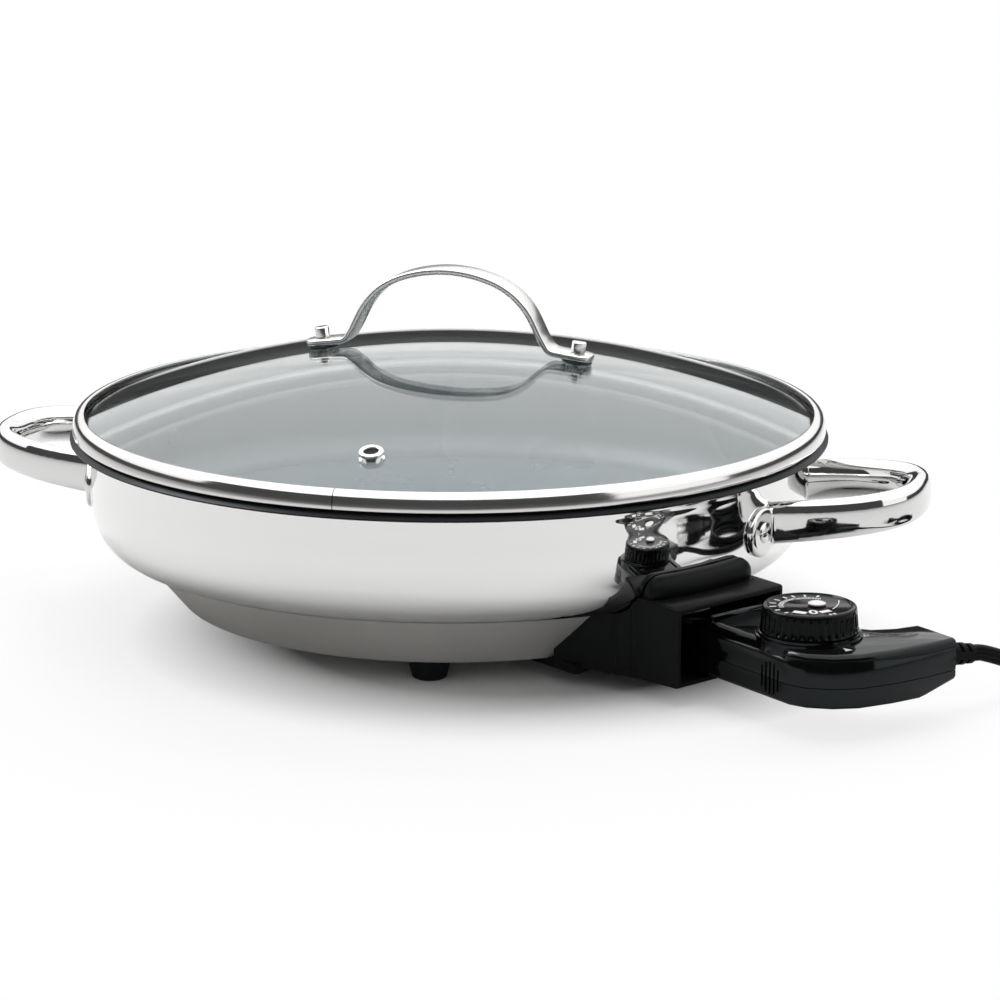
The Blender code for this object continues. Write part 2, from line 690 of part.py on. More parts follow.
def make_base(root, guard_frame):
    line = cover_line()
    outline = line + offset_line(line, COVER_THICKNESS)[::-1]
    cover = add_piece("base_cover", turned(outline), "satin_base", root)
    hole_radius = SCREW_SHANK_RADIUS + SEAT_GAP
    floor_low = COVER_BOTTOM_Z - CUT_OVERRUN
    floor_high = COVER_BOTTOM_Z + COVER_THICKNESS + SEAT_GAP / 2
    combine(cover, screw_bores("cover_bores", hole_radius, floor_low, floor_high, root))
    window = bmesh.new()
    half = BLOCK_HALF_WIDTH + WINDOW_SPARE
    rise = BLOCK_HALF_HEIGHT + WINDOW_SPARE
    low = (WING_END - CUT_OVERRUN, -half, PROBE_AXIS_Z - rise)
    high = (GUARD_BACK, half, PROBE_AXIS_Z + rise)
    add_block(window, low, high)
    combine(cover, add_tool("cover_window", window, guard_frame))

    top = FLOOR_UNDERSIDE_Z - SEAT_GAP
    outline = [
        (0, PLATE_UNDERSIDE_Z), (PLATE_RADIUS - PLATE_CHAMFER, PLATE_UNDERSIDE_Z),
        (PLATE_RADIUS, PLATE_UNDERSIDE_Z + PLATE_CHAMFER), (PLATE_RADIUS, top), (0, top),
    ]
    plate = add_piece("heat_plate", turned(outline), "cast_aluminium", root)
    boss_low = COVER_BOTTOM_Z + COVER_THICKNESS + SEAT_GAP
    boss_high = PLATE_UNDERSIDE_Z + PLATE_CHAMFER
    combine(plate, screw_bores("plate_bosses", BOSS_RADIUS, boss_low, boss_high, root), "UNION")
    pilot_low = boss_low - CUT_OVERRUN
    combine(plate, screw_bores("boss_bores", hole_radius, pilot_low, SCREW_TOP_Z + BORE_SPARE, root))


def foot_outline():
    top = COVER_BOTTOM_Z - SEAT_GAP
    bore = SCREW_SHANK_RADIUS + SEAT_GAP
    return [
        (bore, FOOT_RECESS_DEPTH), (FOOT_RECESS_RADIUS, FOOT_RECESS_DEPTH), (FOOT_RECESS_RADIUS, 0),
        (FOOT_BOTTOM_RADIUS - FOOT_EDGE, 0), (FOOT_BOTTOM_RADIUS, FOOT_EDGE),
        (FOOT_TOP_RADIUS, top), (bore, top),
    ]


def screw_outline(head_low, head_height, head_radius, shank_radius, top):
    head_top = head_low + head_height
    return [
        (0, head_low), (head_radius * 0.8, head_low), (head_radius, head_low + head_height * 0.4),
        (head_radius, head_top), (shank_radius, head_top), (shank_radius, top - shank_radius), (0, top),
    ]


def make_feet(root):
    head_low = FOOT_RECESS_DEPTH - SEAT_GAP - SCREW_HEAD_HEIGHT
    for index, (x, y) in enumerate(foot_places(), 1):
        foot = turned(foot_outline(), MIDDLE_STEPS)
        add_piece(f"foot_{index}", foot, "black_rubber", root, (x, y, 0))
        outline = screw_outline(
            head_low, SCREW_HEAD_HEIGHT, SCREW_HEAD_RADIUS, SCREW_SHANK_RADIUS, SCREW_TOP_Z)
        screw = turned(outline, SMALL_STEPS)
        add_piece(f"foot_screw_{index}", screw, "satin_steel", root, (x, y, 0))
    for index, (x, y) in enumerate(guard_screw_places(), 1):
        outline = screw_outline(
            TAB_BOTTOM_Z - SEAT_GAP - SCREW_HEAD_HEIGHT, SCREW_HEAD_HEIGHT, SCREW_HEAD_RADIUS,
            SCREW_SHANK_RADIUS, SCREW_TOP_Z)
        screw = turned(outline, SMALL_STEPS)
        add_piece(f"guard_screw_{index}", screw, "satin_steel", root, (x, y, 0))


# Side handles and their rivets

def handle_rings():
    # Sections of the cast loop, lofted along a squared-off half ellipse.
    far = WALL_RADIUS + HANDLE_PROJECTION - HANDLE_THICKNESS / 2
    route = []
    for step in range(HANDLE_STEPS + 1):
        angle = -math.pi / 2 + math.pi * step / HANDLE_STEPS
        power = 2 / HANDLE_ROUNDNESS
        out = max(0, math.cos(angle)) ** power
        across = math.copysign(abs(math.sin(angle)) ** power, math.sin(angle))
        along = HANDLE_START_RADIUS + (far - HANDLE_START_RADIUS) * out
        height = HANDLE_MOUNT_Z + HANDLE_RISE_PER_LENGTH * (along - HANDLE_START_RADIUS)
        route.append((Vector((along, HANDLE_HALF_SPACING * across, height)), out))
    rings = []
    for index, (centre, out) in enumerate(route):
        before = route[max(0, index - 1)][0]
        after = route[min(HANDLE_STEPS, index + 1)][0]
        heading = (after - before).to_2d().normalized()
        outward = Vector((heading.y, -heading.x, 0))
        thickness = HANDLE_MOUNT_THICKNESS + (HANDLE_THICKNESS - HANDLE_MOUNT_THICKNESS) * out
        tall = HANDLE_MOUNT_HEIGHT + (HANDLE_HEIGHT - HANDLE_MOUNT_HEIGHT) * out
        rings.append([
            centre + outward * (thickness * across) + Vector((0, 0, tall * up))
            for across, up in HANDLE_SECTION_SHARES
        ])
    return rings


def rivet_outline():
    inner_top = -WALL_THICKNESS - RIVET_INNER_SEAT
    inner_low = inner_top - RIVET_INNER_HEIGHT
    outer_low = SEAT_GAP + FLANGE_THICKNESS + SEAT_GAP
    return [
        (0, inner_low), (RIVET_INNER_RADIUS * 0.8, inner_low),
        (RIVET_INNER_RADIUS, inner_low + RIVET_INNER_HEIGHT * 0.6), (RIVET_INNER_RADIUS, inner_top),
        (RIVET_SHANK_RADIUS, inner_top), (RIVET_SHANK_RADIUS, outer_low),
        (RIVET_HEAD_RADIUS, outer_low), (RIVET_HEAD_RADIUS * 0.94, outer_low + RIVET_HEAD_HEIGHT * 0.5),
        (RIVET_HEAD_RADIUS * 0.6, outer_low + RIVET_HEAD_HEIGHT * 0.9),
        (0, outer_low + RIVET_HEAD_HEIGHT),
    ]


def make_handles(root, pan_space, holes):
    face = WALL_RADIUS + SEAT_GAP + FLANGE_THICKNESS
    for name, turn in (("side_handle_right", 0), ("side_handle_left", math.pi)):
        frame = add_frame(name + "_frame", root, rotation=(0, 0, turn))
        handle = add_piece(name, lofted(handle_rings()), "polished_steel", frame)
        flanges = bmesh.new()
        for side in (-RIVET_ANGLE, RIVET_ANGLE):
            direction = Vector((math.cos(side), math.sin(side), 0))
            raised = Vector((0, 0, RIVET_Z))
            start = direction * HANDLE_START_RADIUS + raised
            add_rod(flanges, FLANGE_RADIUS, start, direction * face + raised, MIDDLE_STEPS)
        combine(handle, add_tool(name + "_flanges", flanges, frame), "UNION")
        combine(handle, pan_space)
        combine(handle, holes)
    for index, direction in enumerate(rivet_directions(), 1):
        seat = direction * WALL_RADIUS
        seat.z = RIVET_Z
        rivet = turned(rivet_outline(), SMALL_STEPS)
        add_piece(f"handle_rivet_{index}", rivet, "polished_steel", root, seat, direction)


# Lid

def dome_height(radius):
    edge_drop = math.sqrt(DOME_RADIUS ** 2 - GLASS_EDGE_RADIUS ** 2)
    return RIM_BOTTOM_Z + GLASS_EDGE_RISE + math.sqrt(DOME_RADIUS ** 2 - radius ** 2) - edge_drop


def dome_frame(name, parent, radius, azimuth):
    # A frame that stands on the glass, with its Z square to the dome.
    tilt = math.asin(radius / DOME_RADIUS)
    place_ = (radius * math.cos(azimuth), radius * math.sin(azimuth), dome_height(radius))
    return add_frame(name, parent, place_, (0, tilt, azimuth))


def make_glass(lid, foot_frames, vent_frame):
    radii = [GLASS_EDGE_RADIUS * share for share in GLASS_RING_SHARES]
    top = [(radius, dome_height(radius)) for radius in radii]
    under = [(radius, height - GLASS_THICKNESS) for radius, height in top[:-1]]
    inner_edge = GLASS_EDGE_RADIUS - GLASS_EDGE_CHAMFER
    under.append((inner_edge, dome_height(inner_edge) - GLASS_THICKNESS))
    low_edge = dome_height(GLASS_EDGE_RADIUS) - GLASS_THICKNESS + GLASS_EDGE_CHAMFER
    outline = under + [(GLASS_EDGE_RADIUS, low_edge)] + top[::-1]
    glass = add_piece("lid_glass", turned(outline), "glass", lid)
    reach = GLASS_THICKNESS + CUT_OVERRUN
    bores = [(frame, BOLT_SHANK_RADIUS + SEAT_GAP * 2) for frame in foot_frames]
    bores.append((vent_frame, VENT_SLEEVE_RADIUS + SEAT_GAP))
    for frame, radius in bores:
        bm = add_rod(bmesh.new(), radius, (0, 0, -reach), (0, 0, CUT_OVERRUN))
        combine(glass, add_tool(frame.name + "_bore", bm, frame))


def make_rim(lid):
    middle = RIM_THICKNESS / 2
    line = [
        (RIM_RADIUS - middle - RIM_DEPTH * inward, RIM_BOTTOM_Z + middle + (RIM_HEIGHT - middle) * up)
        for inward, up in RIM_SHARES
    ]
    outline = offset_line(line, -middle) + offset_line(line, middle)[::-1]
    add_piece("lid_rim", turned(outline), "satin_steel", lid)


def strap_line():
    # Half of the strap's centre line, from its foot's end to the top.
    tilt = math.asin(STRAP_BOLT_RADIUS / DOME_RADIUS)
    lift = SEAT_GAP * 2 + GASKET_THICKNESS + STRAP_THICKNESS / 2
    foot_x = STRAP_BOLT_RADIUS + lift * math.sin(tilt)
    foot_z = dome_height(STRAP_BOLT_RADIUS) + lift * math.cos(tilt)
    end = (foot_x + STRAP_FOOT_HALF_LENGTH * math.cos(tilt), foot_z - STRAP_FOOT_HALF_LENGTH * math.sin(tilt))
    knee = (foot_x - STRAP_FOOT_HALF_LENGTH * math.cos(tilt), foot_z + STRAP_FOOT_HALF_LENGTH * math.sin(tilt))
    crown = dome_height(STRAP_BOLT_RADIUS) + STRAP_HEIGHT - STRAP_THICKNESS / 2
    half_span = STRAP_BOLT_RADIUS - STRAP_SPAN_INSET
    fall = STRAP_HEIGHT - STRAP_FOOT_STEP
    rise = [(half_span * out, crown - fall * (1 - up)) for out, up in STRAP_SHARES]
    return [end, knee] + rise[::-1]


def strap_section(centre, normal, half_width):
    half = STRAP_THICKNESS / 2
    cut = min(STRAP_CHAMFER, half_width / 2)
    shares = [
        (half_width - cut, -half), (half_width, cut - half), (half_width, half - cut),
        (half_width - cut, half), (cut - half_width, half), (-half_width, half - cut),
        (-half_width, cut - half), (cut - half_width, -half),
    ]
    return [
        (centre[0] + normal.x * up, across, centre[1] + normal.y * up) for across, up in shares
    ]


def make_strap(lid, foot_frames):
    half_line = strap_line()
    line = [(-x, z) for x, z in half_line] + half_line[-2::-1]
    full = STRAP_WIDTH / 2
    stations = []
    for sign, end, knee in ((-1, line[0], line[1]), (1, line[-1], line[-2])):
        run = Vector(end) - Vector(knee)
        nose = [
            (Vector(end) - run.normalized() * full * (1 - math.sin(angle)), full * math.cos(angle))
            for angle in (math.radians(85), math.radians(62), math.radians(35), 0)
        ]
        stations.append(nose if sign < 0 else nose[::-1])
    middle = [(Vector(point), full) for point in line[1:-1]]
    route = stations[0] + middle + stations[1]
    rings = []
    for index, (centre, half_width) in enumerate(route):
        before = route[max(0, index - 1)][0]
        after = route[min(len(route) - 1, index + 1)][0]
        heading = (after - before).normalized()
        rings.append(strap_section(centre, Vector((-heading.y, heading.x)), half_width))
    strap = add_piece("lid_strap", lofted(rings), "satin_steel", lid)
    for frame in foot_frames:
        reach = STRAP_THICKNESS * 3
        bm = add_rod(bmesh.new(), BOLT_SHANK_RADIUS + SEAT_GAP, (0, 0, 0), (0, 0, reach))
        combine(strap, add_tool(frame.name + "_hole", bm, frame))


def make_strap_fixings(frame, label):
    full = STRAP_WIDTH / 2
    bore = BOLT_SHANK_RADIUS + SEAT_GAP
    low = SEAT_GAP
    outline = [(bore, low), (full, low), (full, low + GASKET_THICKNESS), (bore, low + GASKET_THICKNESS)]
    add_piece(f"strap_gasket_{label}", turned(outline, MIDDLE_STEPS), "black_rubber", frame)
    head_low = SEAT_GAP * 3 + GASKET_THICKNESS + STRAP_THICKNESS
    head_top = head_low + BOLT_HEAD_HEIGHT
    nut_top = -GLASS_THICKNESS - SEAT_GAP
    tail = nut_top - NUT_HEIGHT - BOLT_TAIL
    outline = [
        (0, tail), (BOLT_SHANK_RADIUS, tail), (BOLT_SHANK_RADIUS, head_low),
        (BOLT_HEAD_RADIUS, head_low), (BOLT_HEAD_RADIUS, head_top - SEAT_GAP),
        (BOLT_HEAD_RADIUS - SEAT_GAP, head_top), (0, head_top),
    ]
    add_piece(f"strap_bolt_{label}", turned(outline, SMALL_STEPS), "satin_steel", frame)
    outline = [
        (bore, nut_top - NUT_HEIGHT), (NUT_RADIUS, nut_top - NUT_HEIGHT),
        (NUT_RADIUS, nut_top), (bore, nut_top),
    ]
    add_piece(f"strap_nut_{label}", turned(outline, 6), "satin_steel", frame)


def make_vent(frame):
    sleeve_low = -GLASS_THICKNESS - SEAT_GAP
    flange = VENT_FLANGE_HEIGHT
    outline = [
        (VENT_BORE_RADIUS, sleeve_low - flange * 0.7), (VENT_FLANGE_RADIUS, sleeve_low - flange * 0.4),
        (VENT_FLANGE_RADIUS, sleeve_low), (VENT_SLEEVE_RADIUS, sleeve_low),
        (VENT_SLEEVE_RADIUS, SEAT_GAP), (VENT_FLANGE_RADIUS, SEAT_GAP),
        (VENT_FLANGE_RADIUS, SEAT_GAP + flange * 0.5), (VENT_FLANGE_RADIUS * 0.82, SEAT_GAP + flange),
        (VENT_BORE_RADIUS * 1.3, SEAT_GAP + flange), (VENT_BORE_RADIUS, SEAT_GAP + flange * 0.6),
    ]
    add_piece("vent_grommet", turned(outline, SMALL_STEPS), "satin_steel", frame)


def make_lid(root):
    lid = add_frame("lid_frame", root)
    feet = [
        dome_frame("strap_foot_right", lid, STRAP_BOLT_RADIUS, 0),
        dome_frame("strap_foot_left", lid, STRAP_BOLT_RADIUS, math.pi),
    ]
    vent = dome_frame("vent_seat", lid, VENT_RADIUS, VENT_AZIMUTH)
    make_glass(lid, feet, vent)
    make_rim(lid)
    make_strap(lid, feet)
    make_strap_fixings(feet[0], "right")
    make_strap_fixings(feet[1], "left")
    make_vent(vent)


# Guard, terminals and heater, in the guard's frame: X out along the probe, Y across

def guard_outline():
    # One side of the guard seen from above, with the two upright ribs on its wing.
    half = GUARD_HALF_WIDTH
    side = [(GUARD_FACE, half), (WING_START, half)]
    start = Vector((WING_START, half))
    run = Vector((WING_END, WING_HALF_WIDTH)) - start
    out = Vector((-run.y, run.x)).normalized() * -WING_RIB
    for share in WING_RIB_SHARES:
        step = WING_RIB / run.length
        side.append(tuple(start + run * (share - step)))
        side.append(tuple(start + run * share + out))
        side.append(tuple(start + run * (share + step)))
    side.append((WING_END, WING_HALF_WIDTH))
    return side + [(x, -y) for x, y in side[::-1]]


def saddle_solid():
    # A rolled collar that follows the pan's wall and dies away at both ends.
    inner = WALL_RADIUS - SADDLE_THICKNESS / 2
    face = WALL_RADIUS + SEAT_GAP
    rise = SADDLE_TOP_Z - GUARD_TOP_Z
    half = [(-share, size) for share, size in SADDLE_END_SHARES]
    rings = []
    for share, size in half + [(0, 1.0)] + [(-share, size) for share, size in half[::-1]]:
        angle = SADDLE_HALF_ANGLE * share
        outline = [
            (face + SADDLE_THICKNESS * size * out, GUARD_TOP_Z + rise * size * up)
            for out, up in SADDLE_SECTION_SHARES
        ]
        outline = [(inner, SADDLE_LOW_Z), (outline[0][0], SADDLE_LOW_Z)] + outline
        outline.append((inner, outline[-1][1]))
        rings.append([(r * math.cos(angle), r * math.sin(angle), z) for r, z in outline])
    return lofted(rings)


def make_guard(frame, pan_space, cover_space):
    body = prism(guard_outline(), GUARD_BOTTOM_Z, GUARD_TOP_Z)

    def front_edge(edge):
        along = sorted(vert.co.x for vert in edge.verts)
        return along[0] > WING_START - MERGE_DISTANCE and along[1] > WING_START + MERGE_DISTANCE

    round_edges(body, GUARD_EDGE, front_edge)
    guard = add_piece("probe_guard", body, "matte_black", frame)
    combine(guard, add_tool("guard_saddle", saddle_solid(), frame), "UNION")
    tabs = bmesh.new()
    for side in (-1, 1):
        across = sorted((side * WING_HALF_WIDTH * 0.985, side * (WING_HALF_WIDTH - TAB_WIDTH)))
        low = (TAB_INNER_RADIUS, across[0], TAB_BOTTOM_Z)
        add_block(tabs, low, (TAB_OUTER_RADIUS, across[1], GUARD_BOTTOM_Z + TAB_ROOT))
    combine(guard, add_tool("guard_tabs", tabs, frame), "UNION")
    combine(guard, pan_space)
    combine(guard, cover_space)
    hollow = bmesh.new()
    inside = GUARD_HALF_WIDTH - GUARD_WALL
    low = (GUARD_BACK, -inside, GUARD_BOTTOM_Z + GUARD_WALL)
    add_block(hollow, low, (GUARD_FACE + CUT_OVERRUN, inside, GUARD_TOP_Z - GUARD_WALL))
    combine(guard, add_tool("guard_socket", hollow, frame))
    window = bmesh.new()
    half = BLOCK_HALF_WIDTH + SEAT_GAP
    rise = BLOCK_HALF_HEIGHT + SEAT_GAP
    low = (WING_END - CUT_OVERRUN, -half, PROBE_AXIS_Z - rise)
    add_block(window, low, (GUARD_BACK + CUT_OVERRUN, half, PROBE_AXIS_Z + rise))
    combine(guard, add_tool("guard_window", window, frame))
    bores = bmesh.new()
    for side in (-1, 1):
        spot = (GUARD_SCREW_ALONG, GUARD_SCREW_ACROSS * side)
        low = (*spot, TAB_BOTTOM_Z - CUT_OVERRUN)
        add_rod(bores, SCREW_SHANK_RADIUS + SEAT_GAP, low, (*spot, COVER_BOTTOM_Z + CUT_OVERRUN))
    combine(guard, add_tool("guard_bores", bores, frame))


def element_route():
    # A ring with two leads that bend out to the terminals.
    ring_z = PLATE_UNDERSIDE_Z - SEAT_GAP - ELEMENT_RADIUS
    lead_z = PROBE_AXIS_Z
    bend_across = PIN_HALF_SPACING + ELEMENT_BEND
    bend_along = math.sqrt((ELEMENT_RING_RADIUS + ELEMENT_BEND) ** 2 - bend_across ** 2)
    meet = math.atan2(bend_across, bend_along)
    centre = (bend_along, bend_across)
    bend = arc(centre, ELEMENT_BEND, ELEMENT_BEND, math.pi * 1.5, math.pi + meet, ELEMENT_BEND_STEPS)
    half = [Vector((ELEMENT_END, PIN_HALF_SPACING, lead_z))]
    middle = (ELEMENT_END + bend_along) / 2
    half.append(Vector((middle, PIN_HALF_SPACING, lead_z)))
    for index, (x, y) in enumerate(bend):
        share = index / ELEMENT_BEND_STEPS
        half.append(Vector((x, y, lead_z + (ring_z - lead_z) * share)))
    ring = []
    for step in range(1, ELEMENT_RING_STEPS):
        angle = meet + (math.tau - 2 * meet) * step / ELEMENT_RING_STEPS
        ring.append(Vector((
            ELEMENT_RING_RADIUS * math.cos(angle), ELEMENT_RING_RADIUS * math.sin(angle), ring_z)))
    other = [Vector((point.x, -point.y, point.z)) for point in reversed(half)]
    return half + ring + other


def make_heater(frame):
    add_tube("heating_element", element_route(), ELEMENT_RADIUS, 1, "heater_sheath", frame)
    for label, side in (("left", -1), ("right", 1)):
        outline = [
            (0, ELEMENT_END + SEAT_GAP), (PIN_RADIUS, ELEMENT_END + SEAT_GAP),
            (PIN_RADIUS, PIN_TIP - PIN_RADIUS * 0.6), (PIN_RADIUS * 0.5, PIN_TIP), (0, PIN_TIP),
        ]
        seat = (0, PIN_HALF_SPACING * side, PROBE_AXIS_Z)
        pin = turned(outline, SMALL_STEPS)
        add_piece(f"terminal_pin_{label}", pin, "satin_steel", frame, seat, (1, 0, 0))
    low = (BLOCK_START, -BLOCK_HALF_WIDTH, PROBE_AXIS_Z - BLOCK_HALF_HEIGHT)
    high = (BLOCK_END, BLOCK_HALF_WIDTH, PROBE_AXIS_Z + BLOCK_HALF_HEIGHT)
    body = add_block(bmesh.new(), low, high)
    block = add_piece("terminal_block", body, "ceramic", frame)
    bores = bmesh.new()
    start = BLOCK_START - CUT_OVERRUN
    end = GUARD_BACK + CUT_OVERRUN
    passages = (
        (-PIN_HALF_SPACING, PIN_RADIUS), (0, WELL_RADIUS), (PIN_HALF_SPACING, PIN_RADIUS))
    for across, radius in passages:
        ends = ((start, across, PROBE_AXIS_Z), (end, across, PROBE_AXIS_Z))
        add_rod(bores, radius + SEAT_GAP, *ends)
    combine(block, add_tool("block_bores", bores, frame))
    floor = WELL_INNER_END + WELL_END_WALL
    mouth = BLOCK_END
    outline = [
        (0, WELL_INNER_END), (WELL_RADIUS, WELL_INNER_END), (WELL_RADIUS, mouth),
        (WELL_BORE_RADIUS, mouth), (WELL_BORE_RADIUS, floor), (0, floor),
    ]
    well = turned(outline, SMALL_STEPS)
    add_piece("sensor_well", well, "satin_steel", frame, (0, 0, PROBE_AXIS_Z), (1, 0, 0))


# Probe, in its own frame: X out, Y across, Z from the parting line

def body_half_width(along):
    share = (along - NOSE_START) / (CORNER_START - NOSE_START)
    return NOSE_HALF_WIDTH + (CORNER_HALF_WIDTH - NOSE_HALF_WIDTH) * share


def grip_line():
    # The outside of the grip, the tail's end and the elbow back to the body.
    length = GRIP_OUTSIDE - CORNER_START
    width = TAIL_END + CORNER_HALF_WIDTH
    outside = [(CORNER_START + length * a, -CORNER_HALF_WIDTH + width * b) for a, b in GRIP_SHARES]
    inner = (
        GRIP_OUTSIDE - TAIL_WIDTH * math.cos(TAIL_LEAN), TAIL_END + TAIL_WIDTH * math.sin(TAIL_LEAN))
    elbow = [
        (ELBOW_ALONG + (inner[0] - ELBOW_ALONG) * a, ELBOW_ACROSS + (inner[1] - ELBOW_ACROSS) * b)
        for a, b in ELBOW_SHARES
    ]
    return outside + [inner] + elbow[::-1] + [(ELBOW_ALONG, ELBOW_ACROSS)]


def housing_outline():
    return (
        [(NOSE_START, -NOSE_HALF_WIDTH), (CORNER_START, -CORNER_HALF_WIDTH)]
        + grip_line() + [(NOSE_START, NOSE_HALF_WIDTH)]
    )


def deck_outline():
    # The raised top: set in along the body, flush along the grip past the groove.
    near = [
        (DECK_START, -body_half_width(DECK_START) + DECK_INSET),
        (GROOVE_START, -body_half_width(GROOVE_START) + DECK_INSET),
    ]
    full = offset_line(housing_outline(), GRIP_INSET, closed=True)
    grip_start = GROOVE_START + GROOVE_WIDTH
    flush = [(grip_start, -body_half_width(grip_start) + GRIP_INSET)] + full[1:-1]
    return near + flush + [(DECK_START, body_half_width(DECK_START) - DECK_INSET)]


def panel_outline():
    # The sunk panel between the bar at the deck's start and the dial.
    start = DECK_START + PANEL_SETBACK
    inset = DECK_INSET + PANEL_MARGIN
    near = body_half_width(start) - inset
    far = body_half_width(DIAL_ALONG) - inset
    return [(start, -near), (DIAL_ALONG, -far), (DIAL_ALONG, far), (start, near)]


def deck_bar():
    # A raised bar across the deck's start.
    start = DECK_START + BAR_INSET
    half = body_half_width(start) - DECK_INSET - BAR_INSET
    low = (start, -half, UPPER_HEIGHT)
    bm = add_block(bmesh.new(), low, (start + BAR_LENGTH, half, DECK_HEIGHT + BAR_RISE))

    def outer_edge(edge):
        return any(vert.co.z > DECK_HEIGHT for vert in edge.verts)

    return round_edges(bm, BAR_EDGE, outer_edge)


def patch_grooves(frame):
    # Upright grooves in an oval patch on the side that the hand grips.
    bm = bmesh.new()
    for index in range(PATCH_GROOVES):
        across = 2 * index / (PATCH_GROOVES - 1) - 1
        along = DIAL_ALONG + PATCH_PITCH * (index - (PATCH_GROOVES - 1) / 2)
        half = PATCH_HALF_HEIGHT * math.sqrt(1 - (PATCH_ROUNDNESS * across) ** 2)
        side = -body_half_width(along)
        low = (along - PATCH_GROOVE_WIDTH / 2, side - CUT_OVERRUN, -half)
        add_block(bm, low, (along + PATCH_GROOVE_WIDTH / 2, side + PATCH_GROOVE_DEPTH, half))
    return add_tool("patch_grooves", bm, frame)


def posts(name, frame, radius, low, high):
    bm = bmesh.new()
    for x, y in POST_PLACES:
        add_rod(bm, radius, (x, y, low), (x, y, high))
    return add_tool(name, bm, frame)


def lift_tail(bm, low):
    # The underside rises towards the tail's end from a straight fold.
    parts = bm.verts[:] + bm.edges[:] + bm.faces[:]
    bmesh.ops.bisect_plane(
        bm, geom=parts, dist=MERGE_DISTANCE, plane_co=(0, FOLD_ACROSS, 0), plane_no=(0, 1, 0))
    for vert in bm.verts:
        if vert.co.z < low + LOWER_EDGE * 1.1 and vert.co.y > FOLD_ACROSS:
            vert.co.z += (vert.co.y - FOLD_ACROSS) * TAIL_LIFT_SHARE
    return bm


def nose_bores(frame):
    bm = bmesh.new()
    start = NOSE_START - CUT_OVERRUN
    end = NOSE_START + HOUSING_WALL + SEAT_GAP
    for across, radius in ((-PIN_HALF_SPACING, SLEEVE_BORE_RADIUS), (0, ROD_RADIUS),
                           (PIN_HALF_SPACING, SLEEVE_BORE_RADIUS)):
        add_rod(bm, radius + SEAT_GAP, (start, across, 0), (end, across, 0))
    return add_tool("nose_bores", bm, frame)


def boot_axis():
    # Where the strain relief leaves the tail, and its direction.
    across = TAIL_END + TAIL_WIDTH / 2 * math.sin(TAIL_LEAN)
    root = Vector((GRIP_OUTSIDE - TAIL_WIDTH / 2 * math.cos(TAIL_LEAN), across, BOOT_HEIGHT))
    level = Vector((math.sin(TAIL_LEAN), math.cos(TAIL_LEAN), 0))
    direction = level * math.cos(BOOT_DROOP) - Vector((0, 0, math.sin(BOOT_DROOP)))
    return root, direction


def boot_clearance(frame):
    root, direction = boot_axis()
    bm = bmesh.new()
    start = root - direction * (BOOT_INSIDE + SEAT_GAP)
    add_rod(bm, BOOT_ROOT_RADIUS + SEAT_GAP, start, root + direction * CUT_OVERRUN, 20)
    return add_tool("boot_clearance", bm, frame)


